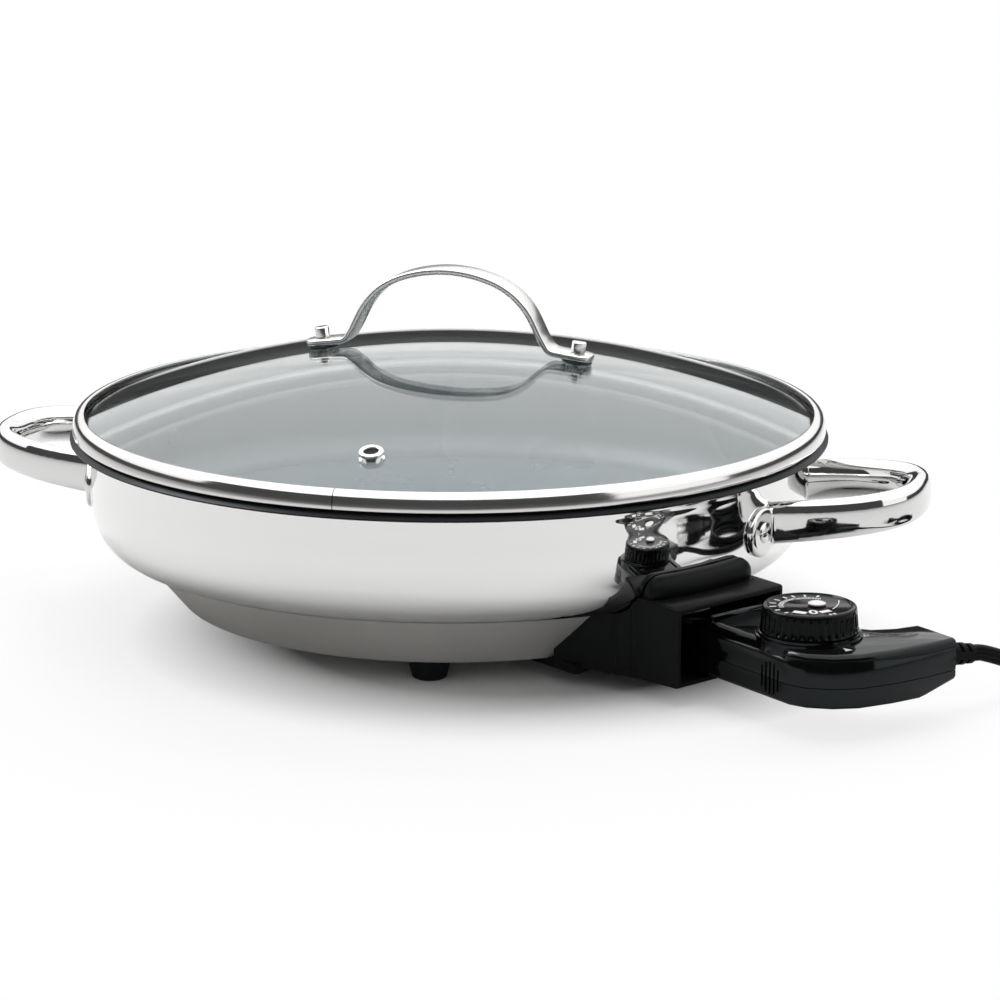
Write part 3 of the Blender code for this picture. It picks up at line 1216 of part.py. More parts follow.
def make_housing(frame):
    bores = nose_bores(frame)
    boot_space = boot_clearance(frame)
    grooves = patch_grooves(frame)
    outline = housing_outline()
    inside = offset_line(outline, HOUSING_WALL, closed=True)
    half_gap = PARTING_GAP / 2

    body = prism(outline, half_gap, UPPER_HEIGHT)
    round_edges(body, UPPER_EDGE, edge_at_height(UPPER_HEIGHT))
    upper = add_piece("probe_upper_shell", body, "gloss_black", frame)
    deck = prism(deck_outline(), UPPER_HEIGHT / 2, DECK_HEIGHT)
    round_edges(deck, DECK_EDGE, edge_at_height(DECK_HEIGHT), 3)
    combine(upper, add_tool("upper_deck", deck, frame), "UNION")
    combine(upper, add_tool("deck_bar", deck_bar(), frame), "UNION")
    panel = prism(panel_outline(), DECK_HEIGHT - PANEL_DEPTH, DECK_HEIGHT + CUT_OVERRUN)
    combine(upper, add_tool("deck_panel", panel, frame))
    rings = (
        ("dial_ring_step", RING_RADIUS + RING_STEP_WIDTH, RING_STEP_HEIGHT),
        ("dial_ring", RING_RADIUS, RING_HEIGHT))
    for name, radius, height in rings:
        ring = bmesh.new()
        dial_seat = (DIAL_ALONG, 0, UPPER_HEIGHT / 2)
        add_rod(ring, radius, dial_seat, (DIAL_ALONG, 0, DECK_HEIGHT + height), RING_STEPS)
        combine(upper, add_tool(name, ring, frame), "UNION")
    room = prism(inside, -CUT_OVERRUN, UPPER_HEIGHT - HOUSING_WALL)
    combine(upper, add_tool("upper_room", room, frame))
    high_room = prism(
        offset_line(deck_outline(), HOUSING_WALL * 1.3, closed=True),
        UPPER_HEIGHT / 2, DECK_HEIGHT - HOUSING_WALL)
    combine(upper, add_tool("deck_room", high_room, frame))
    upper_posts = posts("upper_posts", frame, POST_RADIUS, half_gap, DECK_HEIGHT - HOUSING_WALL / 2)
    combine(upper, upper_posts, "UNION")
    combine(upper, bores)
    combine(upper, boot_space)
    combine(upper, grooves)
    shaft = bmesh.new()
    top = (DIAL_ALONG, 0, DECK_HEIGHT + RING_HEIGHT + CUT_OVERRUN)
    add_rod(shaft, SHAFT_RADIUS + SEAT_GAP, (DIAL_ALONG, 0, UPPER_HEIGHT / 2), top)
    combine(upper, add_tool("shaft_bore", shaft, frame))
    pilot_top = HOUSING_SCREW_LENGTH - LOWER_DEPTH + HOUSING_WALL
    bore = HOUSING_SCREW_RADIUS + SEAT_GAP
    combine(upper, posts("upper_pilots", frame, bore, -CUT_OVERRUN, pilot_top))

    body = prism(outline, -LOWER_DEPTH, -half_gap)
    round_edges(body, LOWER_EDGE, edge_at_height(-LOWER_DEPTH))
    lift_tail(body, -LOWER_DEPTH)
    lower = add_piece("probe_lower_shell", body, "gloss_black", frame)
    room = lift_tail(prism(inside, HOUSING_WALL - LOWER_DEPTH, CUT_OVERRUN), HOUSING_WALL - LOWER_DEPTH)
    combine(lower, add_tool("lower_room", room, frame))
    lower_posts = posts(
        "lower_posts", frame, POST_RADIUS, HOUSING_WALL / 2 - LOWER_DEPTH, -half_gap)
    combine(lower, lower_posts, "UNION")
    combine(lower, bores)
    combine(lower, boot_space)
    combine(lower, grooves)
    combine(lower, posts("lower_pilots", frame, bore, -LOWER_DEPTH - CUT_OVERRUN, CUT_OVERRUN))
    recess = HOUSING_SCREW_HEAD_HEIGHT + SEAT_GAP * 2
    head_room = posts(
        "head_rooms", frame, HOUSING_SCREW_HEAD_RADIUS + SEAT_GAP,
        -LOWER_DEPTH - CUT_OVERRUN, recess - LOWER_DEPTH)
    combine(lower, head_room)
    for index, (x, y) in enumerate(POST_PLACES, 1):
        outline = screw_outline(
            SEAT_GAP - LOWER_DEPTH, HOUSING_SCREW_HEAD_HEIGHT, HOUSING_SCREW_HEAD_RADIUS,
            HOUSING_SCREW_RADIUS, HOUSING_SCREW_LENGTH - LOWER_DEPTH)
        screw = turned(outline, SMALL_STEPS)
        add_piece(f"housing_screw_{index}", screw, "satin_steel", frame, (x, y, 0))


def make_probe_insides(frame):
    inside = NOSE_START + HOUSING_WALL + SEAT_GAP
    collar = inside + ROD_COLLAR_LENGTH
    outline = [
        (0, ROD_TIP), (ROD_RADIUS * 0.7, ROD_TIP), (ROD_RADIUS, ROD_TIP + ROD_RADIUS * 0.6),
        (ROD_RADIUS, inside), (ROD_COLLAR_RADIUS, inside), (ROD_COLLAR_RADIUS, collar), (0, collar),
    ]
    add_piece("sensing_rod", turned(outline, SMALL_STEPS), "satin_steel", frame, direction=(1, 0, 0))
    for label, side in (("left", -1), ("right", 1)):
        outer = SLEEVE_BORE_RADIUS + SLEEVE_WALL
        end = inside + SLEEVE_LENGTH
        outline = [
            (SLEEVE_BORE_RADIUS, inside), (outer, inside), (outer, end), (SLEEVE_BORE_RADIUS, end)]
        sleeve = turned(outline, SMALL_STEPS)
        seat = (0, PIN_HALF_SPACING * side, 0)
        add_piece(f"contact_sleeve_{label}", sleeve, "brass", frame, seat, (1, 0, 0))
    floor = HOUSING_WALL - LOWER_DEPTH + SEAT_GAP
    half = FRAME_HALF_WIDTH
    bracket = [
        (-half, floor), (half, floor), (half, floor + FRAME_HEIGHT),
        (half - FRAME_WALL, floor + FRAME_HEIGHT), (half - FRAME_WALL, floor + FRAME_WALL),
        (FRAME_WALL - half, floor + FRAME_WALL), (FRAME_WALL - half, floor + FRAME_HEIGHT),
        (-half, floor + FRAME_HEIGHT),
    ]
    rings = [[(along, y, z) for y, z in bracket] for along in (FRAME_START, FRAME_START + FRAME_LENGTH)]
    add_piece("thermostat_frame", lofted(rings), "satin_steel", frame)
    base = floor + FRAME_WALL + SEAT_GAP
    width = BLADE_HALF_WIDTH
    rings = []
    for along, up in BLADE_SHARES:
        x = FRAME_START + FRAME_WALL + BLADE_LENGTH * along
        z = base + BLADE_RISE * up
        high = z + BLADE_THICKNESS
        rings.append([(x, -width, z), (x, width, z), (x, width, high), (x, -width, high)])
    add_piece("contact_arm", lofted(rings), "brass", frame)


def dial_outline():
    face = DIAL_HEIGHT - DIAL_FACE_DEPTH
    low = DIAL_HEIGHT * DIAL_RIB_LOW_SHARE
    high = DIAL_HEIGHT * DIAL_RIB_HIGH_SHARE
    slope = (DIAL_TOP_RADIUS - DIAL_BOTTOM_RADIUS) / DIAL_HEIGHT
    socket = SHAFT_RADIUS + SEAT_GAP
    return [
        (0, SHAFT_SOCKET_DEPTH + SEAT_GAP), (socket, SHAFT_SOCKET_DEPTH + SEAT_GAP), (socket, 0),
        (DIAL_BOTTOM_RADIUS, 0), (DIAL_BOTTOM_RADIUS + slope * low, low),
        (DIAL_BOTTOM_RADIUS + slope * high, high), (DIAL_TOP_RADIUS, DIAL_HEIGHT - DIAL_EDGE),
        (DIAL_TOP_RADIUS - DIAL_EDGE, DIAL_HEIGHT), (DIAL_FACE_RADIUS, DIAL_HEIGHT),
        (DIAL_FACE_RADIUS - DIAL_FACE_DEPTH, face), (0, face),
    ]


def make_dial(frame):
    bottom = DECK_HEIGHT + RING_HEIGHT + SEAT_GAP
    turning = add_frame("dial_frame", frame, (DIAL_ALONG, 0, bottom))
    steps = DIAL_RIBS * 2
    body = turned(dial_outline(), steps)
    low = DIAL_HEIGHT * DIAL_RIB_LOW_SHARE - MERGE_DISTANCE
    high = DIAL_HEIGHT * DIAL_RIB_HIGH_SHARE + MERGE_DISTANCE
    for vert in body.verts:
        radius = vert.co.to_2d().length
        index = round(math.atan2(vert.co.y, vert.co.x) / math.tau * steps)
        if low <= vert.co.z <= high and radius > DIAL_FACE_RADIUS and index % 2:
            share = (radius - DIAL_RIB_DEPTH) / radius
            vert.co.x *= share
            vert.co.y *= share
    add_piece("dial", body, "gloss_black", turning)
    lens_low = DIAL_HEIGHT - DIAL_FACE_DEPTH + SEAT_GAP
    outline = [
        (0, lens_low), (LENS_RADIUS, lens_low), (LENS_RADIUS, lens_low + LENS_HEIGHT * 0.6),
        (LENS_RADIUS * 0.7, lens_low + LENS_HEIGHT), (0, lens_low + LENS_HEIGHT),
    ]
    lens = turned(outline, SMALL_STEPS)
    add_piece("dial_lens", lens, "white_lens", turning, (LENS_ALONG, LENS_ACROSS, 0))
    cam_low = CAM_LOW - bottom
    outline = [
        (0, cam_low), (CAM_RADIUS, cam_low), (CAM_RADIUS, cam_low + CAM_HEIGHT),
        (SHAFT_RADIUS, cam_low + CAM_HEIGHT), (SHAFT_RADIUS, SHAFT_SOCKET_DEPTH),
        (0, SHAFT_SOCKET_DEPTH),
    ]
    add_piece("dial_shaft", turned(outline, SMALL_STEPS), "satin_steel", turning)


# Strain relief, cord, coil, tie and plug

def make_boot(frame):
    root, direction = boot_axis()
    outline = [(0, -BOOT_INSIDE), (BOOT_ROOT_RADIUS, -BOOT_INSIDE), (BOOT_ROOT_RADIUS, 0)]
    pitch = BOOT_OUTSIDE / BOOT_RIBS
    for index in range(BOOT_RIBS):
        start = pitch * index
        radius = BOOT_ROOT_RADIUS + (BOOT_TIP_RADIUS - BOOT_ROOT_RADIUS) * (index + 1) / BOOT_RIBS
        outline += [
            (radius - BOOT_GROOVE, start + pitch * 0.12), (radius - BOOT_GROOVE, start + pitch * 0.38),
            (radius, start + pitch * 0.5), (radius, start + pitch),
        ]
    outline.append((0, BOOT_OUTSIDE))
    body = turned(outline, SMALL_STEPS)
    boot = add_piece("strain_relief", body, "black_rubber", frame, root, direction)
    # Solid webs along both sides leave the grooves as slots above and below.
    tall = BOOT_WEB_HALF_HEIGHT
    rings = []
    for along, radius in ((0, BOOT_ROOT_RADIUS), (BOOT_OUTSIDE - BOOT_WEB_INSET, BOOT_TIP_RADIUS)):
        wide = radius - BOOT_WEB_INSET
        corners = ((-wide, -tall), (wide, -tall), (wide, tall), (-wide, tall))
        rings.append([(x, y, along) for x, y in corners])
    combine(boot, add_tool("boot_webs", lofted(rings), frame, root, direction), "UNION")


def cord_floor_z():
    return TIE_THICKNESS + TIE_CLEARANCE + CORD_RADIUS


def boot_tip(frame):
    # The strain relief's tip and heading, in the skillet's own frame.
    root, direction = boot_axis()
    turn = frame.rotation_euler.to_matrix()
    return frame.location + turn @ (root + direction * BOOT_OUTSIDE), turn @ direction


def coil_centre(tip):
    return Vector((tip.x + COIL_CENTRE[0], tip.y + COIL_CENTRE[1], 0))


def coil_point(turns, centre):
    # One point of the coil, counted in turns from its outer start.
    half = COIL_TURNS / 2
    inward = turns if turns < half else COIL_TURNS - turns
    radius = COIL_OUTER_RADIUS - COIL_PITCH * inward
    climbed = (turns - half) / COIL_CLIMB_TURNS + 0.5
    height = cord_floor_z() + COIL_LAYER_RISE * min(1, max(0, climbed))
    angle = COIL_START_ANGLE - math.tau * turns
    return centre + Vector((radius * math.cos(angle), radius * math.sin(angle), height))


def coil_route(centre):
    count = round(COIL_TURNS * COIL_POINTS_PER_TURN)
    turns = [coil_point(COIL_TURNS * index / count, centre) for index in range(count + 1)]
    start = Vector((math.sin(COIL_START_ANGLE), -math.cos(COIL_START_ANGLE), 0))
    last_angle = COIL_START_ANGLE - math.tau * COIL_TURNS
    end = Vector((math.sin(last_angle), -math.cos(last_angle), 0))
    lead = [turns[0] - start * COIL_STRAIGHT]
    tail = []
    for step in range(1, COIL_TAIL_STEPS + 1):
        eased = min(1, (step - 1) / (COIL_TAIL_STEPS - 2))
        drop = COIL_TAIL_DROP * eased ** 2 * (3 - eased * 2)
        along = COIL_TAIL * step / COIL_TAIL_STEPS
        tail.append(turns[-1] + end * along - Vector((0, 0, drop)))
    return lead + turns + tail, start, end


def print_coil_gap(route):
    # The least gap between two stretches of the coil that aren't neighbours.
    skip = COIL_POINTS_PER_TURN // 3
    least = min(
        (route[a] - route[b]).length
        for a in range(len(route)) for b in range(a + skip, len(route))
    )
    print("coil: least gap to itself", round((least - 2 * CORD_RADIUS) * 1000, 2), "mm")


def lead_route(tip, heading, coil_start, coil_heading):
    diameter = CORD_RADIUS * 2
    start = tip + heading * SEAT_GAP
    last = coil_start - coil_heading * SEAT_GAP
    places = [start, start + heading * diameter]
    places += [Vector((tip.x + x, tip.y + y, z)) for x, y, z in CORD_PLACES]
    places += [last - coil_heading * diameter, last]
    return [start] + smooth_route(places, CORD_STEP) + [last]


def route_length(points):
    return sum((b - a).length for a, b in zip(points, points[1:]))


def make_cord(root, probe_frame):
    tip, tip_heading = boot_tip(probe_frame)
    centre = coil_centre(tip)
    coil, heading, end = coil_route(centre)
    print_coil_gap(coil)
    add_tube("cord_coil", coil, CORD_RADIUS, 1, "black_rubber", root)
    lead = lead_route(tip, tip_heading, coil[0], heading)
    add_tube("power_cord", lead, CORD_RADIUS, CORD_SIDES, "black_rubber", root)
    lengths = (route_length(lead), route_length(coil))
    print("cord: lead", round(lengths[0], 4), "coil", round(lengths[1], 4), "total", round(sum(lengths), 4))
    print("cord: tip", [round(value, 5) for value in tip])
    make_tie(root, centre)
    make_plug(root, coil[-1], end)


def make_tie(root, centre):
    # A flat band round the two by two bundle of turns.
    angle = COIL_START_ANGLE - math.tau * TIE_TURN_SHARE
    outward = Vector((math.cos(angle), math.sin(angle), 0))
    along = Vector((-outward.y, outward.x, 0))
    outer_turn = COIL_OUTER_RADIUS - COIL_PITCH * TIE_TURN_SHARE
    room = CORD_RADIUS + TIE_CLEARANCE
    low_r = outer_turn - COIL_PITCH - room
    high_r = outer_turn + room
    low_z = TIE_THICKNESS
    high_z = cord_floor_z() + COIL_LAYER_RISE + room

    def block(grow, half_width):
        corners = [
            (low_r - grow, low_z - grow), (high_r + grow, low_z - grow),
            (high_r + grow, high_z + grow), (low_r - grow, high_z + grow),
        ]
        rings = []
        for side in (-half_width, half_width):
            rings.append([centre + outward * r + along * side + Vector((0, 0, z)) for r, z in corners])
        return lofted(rings)

    tie = add_piece("cord_tie", block(TIE_THICKNESS, TIE_WIDTH / 2), "matte_black", root)
    combine(tie, add_tool("tie_space", block(0, TIE_WIDTH), root))


def make_plug(root, cord_end, heading):
    # The plug lies beside the coil, in line with the cord's last stretch.
    frame = add_frame("plug_frame", root, cord_end + heading * SEAT_GAP)
    frame.rotation_euler = (0, 0, math.atan2(heading.y, heading.x))
    rings = []
    for share in (0, 1):
        x = PLUG_NECK_LENGTH * share
        rings.append([
            (x, PLUG_NECK_RADIUS * 2 * y, PLUG_NECK_RADIUS * 2 * z) for y, z in PLUG_SECTION_SHARES])
    tall = cord_end.z * 2 - SEAT_GAP * 2
    for along, size in PLUG_SHARES[1:]:
        x = PLUG_NECK_LENGTH + PLUG_LENGTH * along
        rings.append([(x, PLUG_WIDTH * size * y, tall * size * z) for y, z in PLUG_SECTION_SHARES])
    add_piece("plug", lofted(rings), "black_rubber", frame)
    start = PLUG_NECK_LENGTH + PLUG_LENGTH + SEAT_GAP
    for label, side in (("left", 1), ("right", -1)):
        middle = side * BLADE_SPACING / 2
        thick = PLUG_BLADE_THICKNESS / 2
        low = (start, middle - thick, -PLUG_BLADE_WIDTH / 2)
        high = (start + PLUG_BLADE_LENGTH, middle + thick, PLUG_BLADE_WIDTH / 2)
        blade = add_block(bmesh.new(), low, high)
        add_piece(f"plug_blade_{label}", blade, "brass", frame)


def centre_on_footprint(root):
    # Stands the object, without its cord, over the origin.
    loose = ("power_cord", "cord_coil", "cord_tie", "plug", "plug_blade_left", "plug_blade_right")
    bpy.context.view_layer.update()
    graph = bpy.context.evaluated_depsgraph_get()
    places = []
    for thing in bpy.context.scene.objects:
        if thing.type != "MESH" or thing.display_type == "WIRE" or thing.name in loose:
            continue
        shown = thing.evaluated_get(graph)
        places += [shown.matrix_world @ vert.co for vert in shown.data.vertices]
    low = [min(place_[axis] for place_ in places) for axis in (0, 1)]
    high = [max(place_[axis] for place_ in places) for axis in (0, 1)]
    root.location = (-(low[0] + high[0]) / 2, -(low[1] + high[1]) / 2, 0)
    print("pan axis", [round(value, 5) for value in root.location])


def main():
    clear_scene()
    root = add_frame("skillet")
    guard_frame = add_frame("guard_frame", root, rotation=(0, 0, GUARD_AZIMUTH))
    probe_frame = add_frame("probe_frame", root, (0, 0, PROBE_AXIS_Z), (0, 0, GUARD_AZIMUTH))
    pan_space = pan_clearance(root)
    cover_space = cover_clearance(root)
    holes = rivet_holes(root)
    make_pan(root, holes)
    make_base(root, guard_frame)
    make_feet(root)
    make_handles(root, pan_space, holes)
    make_lid(root)
    make_guard(guard_frame, pan_space, cover_space)
    make_heater(guard_frame)
    make_housing(probe_frame)
    make_probe_insides(probe_frame)
    make_dial(probe_frame)
    make_boot(probe_frame)
    make_cord(root, probe_frame)
    centre_on_footprint(root)


main()
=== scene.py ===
import math

import bmesh
import bpy
from mathutils import Matrix, Vector


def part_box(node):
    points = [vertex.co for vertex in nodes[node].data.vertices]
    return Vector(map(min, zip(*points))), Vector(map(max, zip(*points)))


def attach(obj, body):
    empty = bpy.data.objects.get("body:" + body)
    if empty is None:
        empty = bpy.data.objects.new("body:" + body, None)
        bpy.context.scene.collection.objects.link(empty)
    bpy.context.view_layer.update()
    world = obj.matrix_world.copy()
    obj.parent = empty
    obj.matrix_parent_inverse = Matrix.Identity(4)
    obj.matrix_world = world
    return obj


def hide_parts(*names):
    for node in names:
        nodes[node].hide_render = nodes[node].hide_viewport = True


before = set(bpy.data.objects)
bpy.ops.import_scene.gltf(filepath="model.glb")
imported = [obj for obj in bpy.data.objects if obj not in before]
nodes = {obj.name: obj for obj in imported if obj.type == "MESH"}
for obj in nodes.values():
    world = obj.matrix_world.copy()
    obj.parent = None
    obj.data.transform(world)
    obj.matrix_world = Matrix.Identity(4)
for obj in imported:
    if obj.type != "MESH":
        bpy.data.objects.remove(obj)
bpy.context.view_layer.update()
panLow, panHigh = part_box("pan")
panAxis = Vector(((panLow.x + panHigh.x) / 2, (panLow.y + panHigh.y) / 2, 0))
aboutPan = Matrix.Translation(panAxis)
print("frame loaded, pan axis at", [round(value, 5) for value in panAxis])


def compass(degrees):
    # the level direction at an azimuth
    turn = math.radians(degrees)
    return Vector((math.cos(turn), math.sin(turn), 0))


def show(thing):
    bpy.context.scene.collection.objects.link(thing)
    return thing


# the photograph's own view, from the front and a little to the right

camera = {
    "azimuth": -73.0,  # round the pan's axis, in degrees
    "distance": 1.4072,
    "height": 0.3934,
    "pitch": -13.81,
    "lens": 121.5,
    "shift": 0.0509,
}


def addCamera():
    data = bpy.data.cameras.new("productCamera")
    data.lens = camera["lens"]
    data.shift_x = camera["shift"]
    data.clip_start = 0.05
    data.clip_end = 60
    eye = show(bpy.data.objects.new("productCamera", data))
    eye.location = panAxis + compass(camera["azimuth"]) * camera["distance"]
    eye.location.z += camera["height"]
    turns = (90 + camera["pitch"], 0, camera["azimuth"] + 90)
    eye.rotation_euler = [math.radians(turn) for turn in turns]
    bpy.context.scene.camera = eye


addCamera()


# shader helpers

class Wire:
    # a node's output that adds, multiplies and so on as a number does

    def __init__(self, finish, socket):
        self.finish = finish
        self.socket = socket

    def maths(self, operation, first, second=0.0):
        return self.finish.node("ShaderNodeMath", {"operation": operation}, {0: first, 1: second})

    def __add__(self, other):
        return self.maths("ADD", self, other)

    def __sub__(self, other):
        return self.maths("SUBTRACT", self, other)

    def __mul__(self, other):
        return self.maths("MULTIPLY", self, other)

    def __truediv__(self, other):
        return self.maths("DIVIDE", self, other)

    def __pow__(self, other):
        return self.maths("POWER", self, other)

    def other(self, index):
        # another output of the same node
        return Wire(self.finish, self.socket.node.outputs[index])


class Finish:
    # a material built round one Principled shader

    def __init__(self, name, colour, roughness, metallic=0.0, sockets=None):
        self.material = bpy.data.materials.new(name)
        self.material.use_nodes = True
        self.tree = self.material.node_tree
        self.shader = self.tree.nodes["Principled BSDF"]
        values = {"Base Color": (*colour, 1), "Roughness": roughness, "Metallic": metallic}
        values.update(sockets or {})
        for key, value in values.items():
            self.shader.inputs[key].default_value = value

    def node(self, kind, settings=None, inputs=None, output=0):
        made = self.tree.nodes.new(kind)
        for key, value in (settings or {}).items():
            setattr(made, key, value)
        for key, value in (inputs or {}).items():
            if isinstance(value, Wire):
                self.tree.links.new(value.socket, made.inputs[key])
            else:
                made.inputs[key].default_value = value
        return Wire(self, made.outputs[output])

    def feed(self, key, wire):
        self.tree.links.new(wire.socket, self.shader.inputs[key])

    def surface(self, wire):
        # what the material shows in place of its own shader
        self.tree.links.new(wire.socket, self.tree.nodes["Material Output"].inputs["Surface"])

    def place(self, origin=(0, 0, 0), azimuth=0.0):
        # object coordinates measured from an origin and turned about Z
        spot = self.node("ShaderNodeTexCoord", output="Object")
        back = tuple(-value for value in origin)
        moved = self.node("ShaderNodeMapping", None, {"Vector": spot, "Location": back})
        turned = {"Vector": moved, "Rotation": (0, 0, -math.radians(azimuth))}
        return self.node("ShaderNodeMapping", None, turned)

    def noise(self, place, scale, detail=3.0, roughness=0.5):
        inputs = {"Vector": place, "Scale": scale, "Detail": detail, "Roughness": roughness}
        return self.node("ShaderNodeTexNoise", None, inputs)

    def remap(self, wire, low, high, newLow, newHigh):
        inputs = {0: wire, 1: low, 2: high, 3: newLow, 4: newHigh}
        return self.node("ShaderNodeMapRange", None, inputs)

    def shades(self, factor, first, second):
        inputs = {0: factor, 6: (*first, 1), 7: (*second, 1)}
        self.feed("Base Color", self.node("ShaderNodeMix", {"data_type": "RGBA"}, inputs, 2))

    def gloss(self, *levels):
        self.feed("Roughness", self.remap(*levels))

    def bump(self, height, strength, distance):
        inputs = {"Height": height, "Strength": strength, "Distance": distance}
        self.feed("Normal", self.node("ShaderNodeBump", None, inputs))

    def radial(self, origin):
        # the distance from an upright axis through the origin, and the height above it
        parts = self.node("ShaderNodeSeparateXYZ", None, {0: self.place(origin)})
        across = parts.other(1)
        return (parts * parts + across * across) ** 0.5, parts.other(2)

    def spun(self, lines):
        # fine turning lines round the pan's axis
        radius, height = self.radial(panAxis)
        flat = self.node("ShaderNodeCombineXYZ", None, {0: radius, 1: height, 2: 0.0})
        return self.noise(flat, lines, 4.0, 0.6)


def mottled(finish, scale, low, high):
    # roughness that wanders between two values
    grain = finish.noise(finish.place(), scale)
    finish.gloss(grain, 0.3, 0.7, low, high)
    return grain


# finishes

def polishedSteel():
    finish = Finish("polishedSteel", (0.86, 0.858, 0.85), 0.03, 1.0)
    grain = mottled(finish, 30.0, 0.02, 0.05)
    finish.bump(finish.spun(900.0) * 0.5 + grain * 0.5, 0.01, 0.0002)
    return finish.material


def castSteel():
    finish = Finish("castSteel", (0.76, 0.758, 0.75), 0.06, 1.0)
    grain = mottled(finish, 60.0, 0.04, 0.1)
    finish.bump(grain, 0.05, 0.0004)
    return finish.material


# the fine joint where the rim strip's ends meet, faded out between each pair of distances
rimJoint = {
    "azimuth": -89.3,
    "reach": 0.158,
    "halfWidth": (0.00015, 0.0003),
    "halfLength": (0.010, 0.012),
    "shade": (0.12, 0.12, 0.12),
}


def rolledSteel():
    steel = (0.76, 0.75, 0.735)
    finish = Finish("rolledSteel", steel, 0.12, 1.0)
    lines = finish.spun(1400.0)
    finish.gloss(lines, 0.3, 0.7, 0.08, 0.15)
    finish.bump(lines, 0.03, 0.0001)
    spot = panAxis + compass(rimJoint["azimuth"]) * rimJoint["reach"]
    parts = finish.node("ShaderNodeSeparateXYZ", None, {0: finish.place(spot, rimJoint["azimuth"])})
    across = parts.other(1).maths("ABSOLUTE", parts.other(1))
    near = parts.maths("ABSOLUTE", parts)
    thin = finish.remap(across, *rimJoint["halfWidth"], 1.0, 0.0)
    joint = thin * finish.remap(near, *rimJoint["halfLength"], 1.0, 0.0)
    finish.shades(joint, steel, rimJoint["shade"])
    return finish.material


def satinSteel():
    finish = Finish("satinSteel", (0.72, 0.715, 0.705), 0.22, 1.0)
    grain = mottled(finish, 60.0, 0.2, 0.24)
    finish.shades(grain, (0.69, 0.685, 0.675), (0.75, 0.745, 0.735))
    finish.bump(grain, 0.02, 0.0001)
    return finish.material


def spunBase():
    finish = Finish("spunBase", (0.60, 0.59, 0.57), 0.55, 0.72)
    lines = finish.spun(700.0)
    cloud = finish.noise(finish.place(), 14.0)
    finish.shades(cloud, (0.50, 0.49, 0.47), (0.60, 0.59, 0.57))
    finish.gloss(lines + cloud, 0.6, 1.4, 0.5, 0.62)
    finish.bump(lines, 0.12, 0.0003)
    return finish.material


def darkCoat():
    finish = Finish("darkCoat", (0.066, 0.081, 0.093), 0.28)
    fleck = finish.noise(finish.place(), 900.0, 2.0)
    cloud = finish.noise(finish.place(), 9.0)
    finish.shades(cloud, (0.059, 0.074, 0.086), (0.073, 0.090, 0.104))
    finish.gloss(cloud, 0.0, 1.0, 0.16, 0.36)
    finish.bump(fleck, 0.02, 0.0001)
    return finish.material


def domeGlass():
    sockets = {"Transmission Weight": 1.0, "IOR": 1.5, "Specular Tint": (0.90, 0.975, 1.0, 1)}
    finish = Finish("domeGlass", (0.93, 0.965, 0.96), 0.0, 0.0, sockets)
    haze = finish.noise(finish.place(), 22.0)
    finish.gloss(haze, 0.2, 0.8, 0.004, 0.010)
    # light that makes shadows passes through
    ray = finish.node("ShaderNodeLightPath")
    clear = finish.node("ShaderNodeBsdfTransparent", None, {"Color": (0.86, 0.92, 0.91, 1)})
    glass = Wire(finish, finish.shader.outputs[0])
    mixed = finish.node("ShaderNodeMixShader", None, {0: ray.other(1), 1: glass, 2: clear})
    finish.surface(mixed)
    return finish.material


def mouldedBlack(name, shade, low, high, grain, depth, level=0.5):
    # moulded plastic or rubber, with a fine grain and uneven gloss
    sockets = {"Specular IOR Level": level, "Specular Tint": (0.86, 0.97, 1.0, 1)}
    finish = Finish(name, (shade, shade * 1.03, shade * 1.06), low, 0.0, sockets)
    cloud = finish.noise(finish.place(), 26.0)
    speck = finish.noise(finish.place(), grain, 2.0)
    dim = tuple(shade * part for part in (0.8, 0.82, 0.85))
    lit = tuple(shade * part for part in (1.3, 1.33, 1.36))
    finish.shades(cloud, dim, lit)
    finish.gloss(cloud * 0.6 + speck * 0.4, 0.35, 0.65, low, high)
    finish.bump(speck, 0.25, depth)
    return finish.material


def metalPart(name, colour, low, high, scale):
    finish = Finish(name, colour, low, 1.0)
    grain = mottled(finish, scale, low, high)
    dim = tuple(value * 0.82 for value in colour)
    finish.shades(grain, dim, colour)
    finish.bump(grain, 0.08, 0.0002)
    return finish.material


def firedCeramic():
    finish = Finish("firedCeramic", (0.82, 0.79, 0.72), 0.6)
    speck = finish.noise(finish.place(), 700.0)
    finish.shades(speck, (0.74, 0.70, 0.62), (0.86, 0.84, 0.78))
    finish.bump(speck, 0.2, 0.0002)
    return finish.material


def whiteInk():
    finish = Finish("whiteInk", (0.82, 0.82, 0.80), 0.45)
    wear = finish.noise(finish.place(), 1500.0)
    finish.shades(wear, (0.62, 0.62, 0.61), (0.9, 0.9, 0.88))
    return finish.material


def frostedLens():
    sockets = {"Coat Weight": 0.6, "Subsurface Weight": 0.2, "Subsurface Scale": 0.002}
    finish = Finish("frostedLens", (0.82, 0.82, 0.80), 0.2, 0.0, sockets)
    cloud = finish.noise(finish.place(), 300.0)
    finish.shades(cloud, (0.74, 0.74, 0.72), (0.88, 0.88, 0.86))
    return finish.material


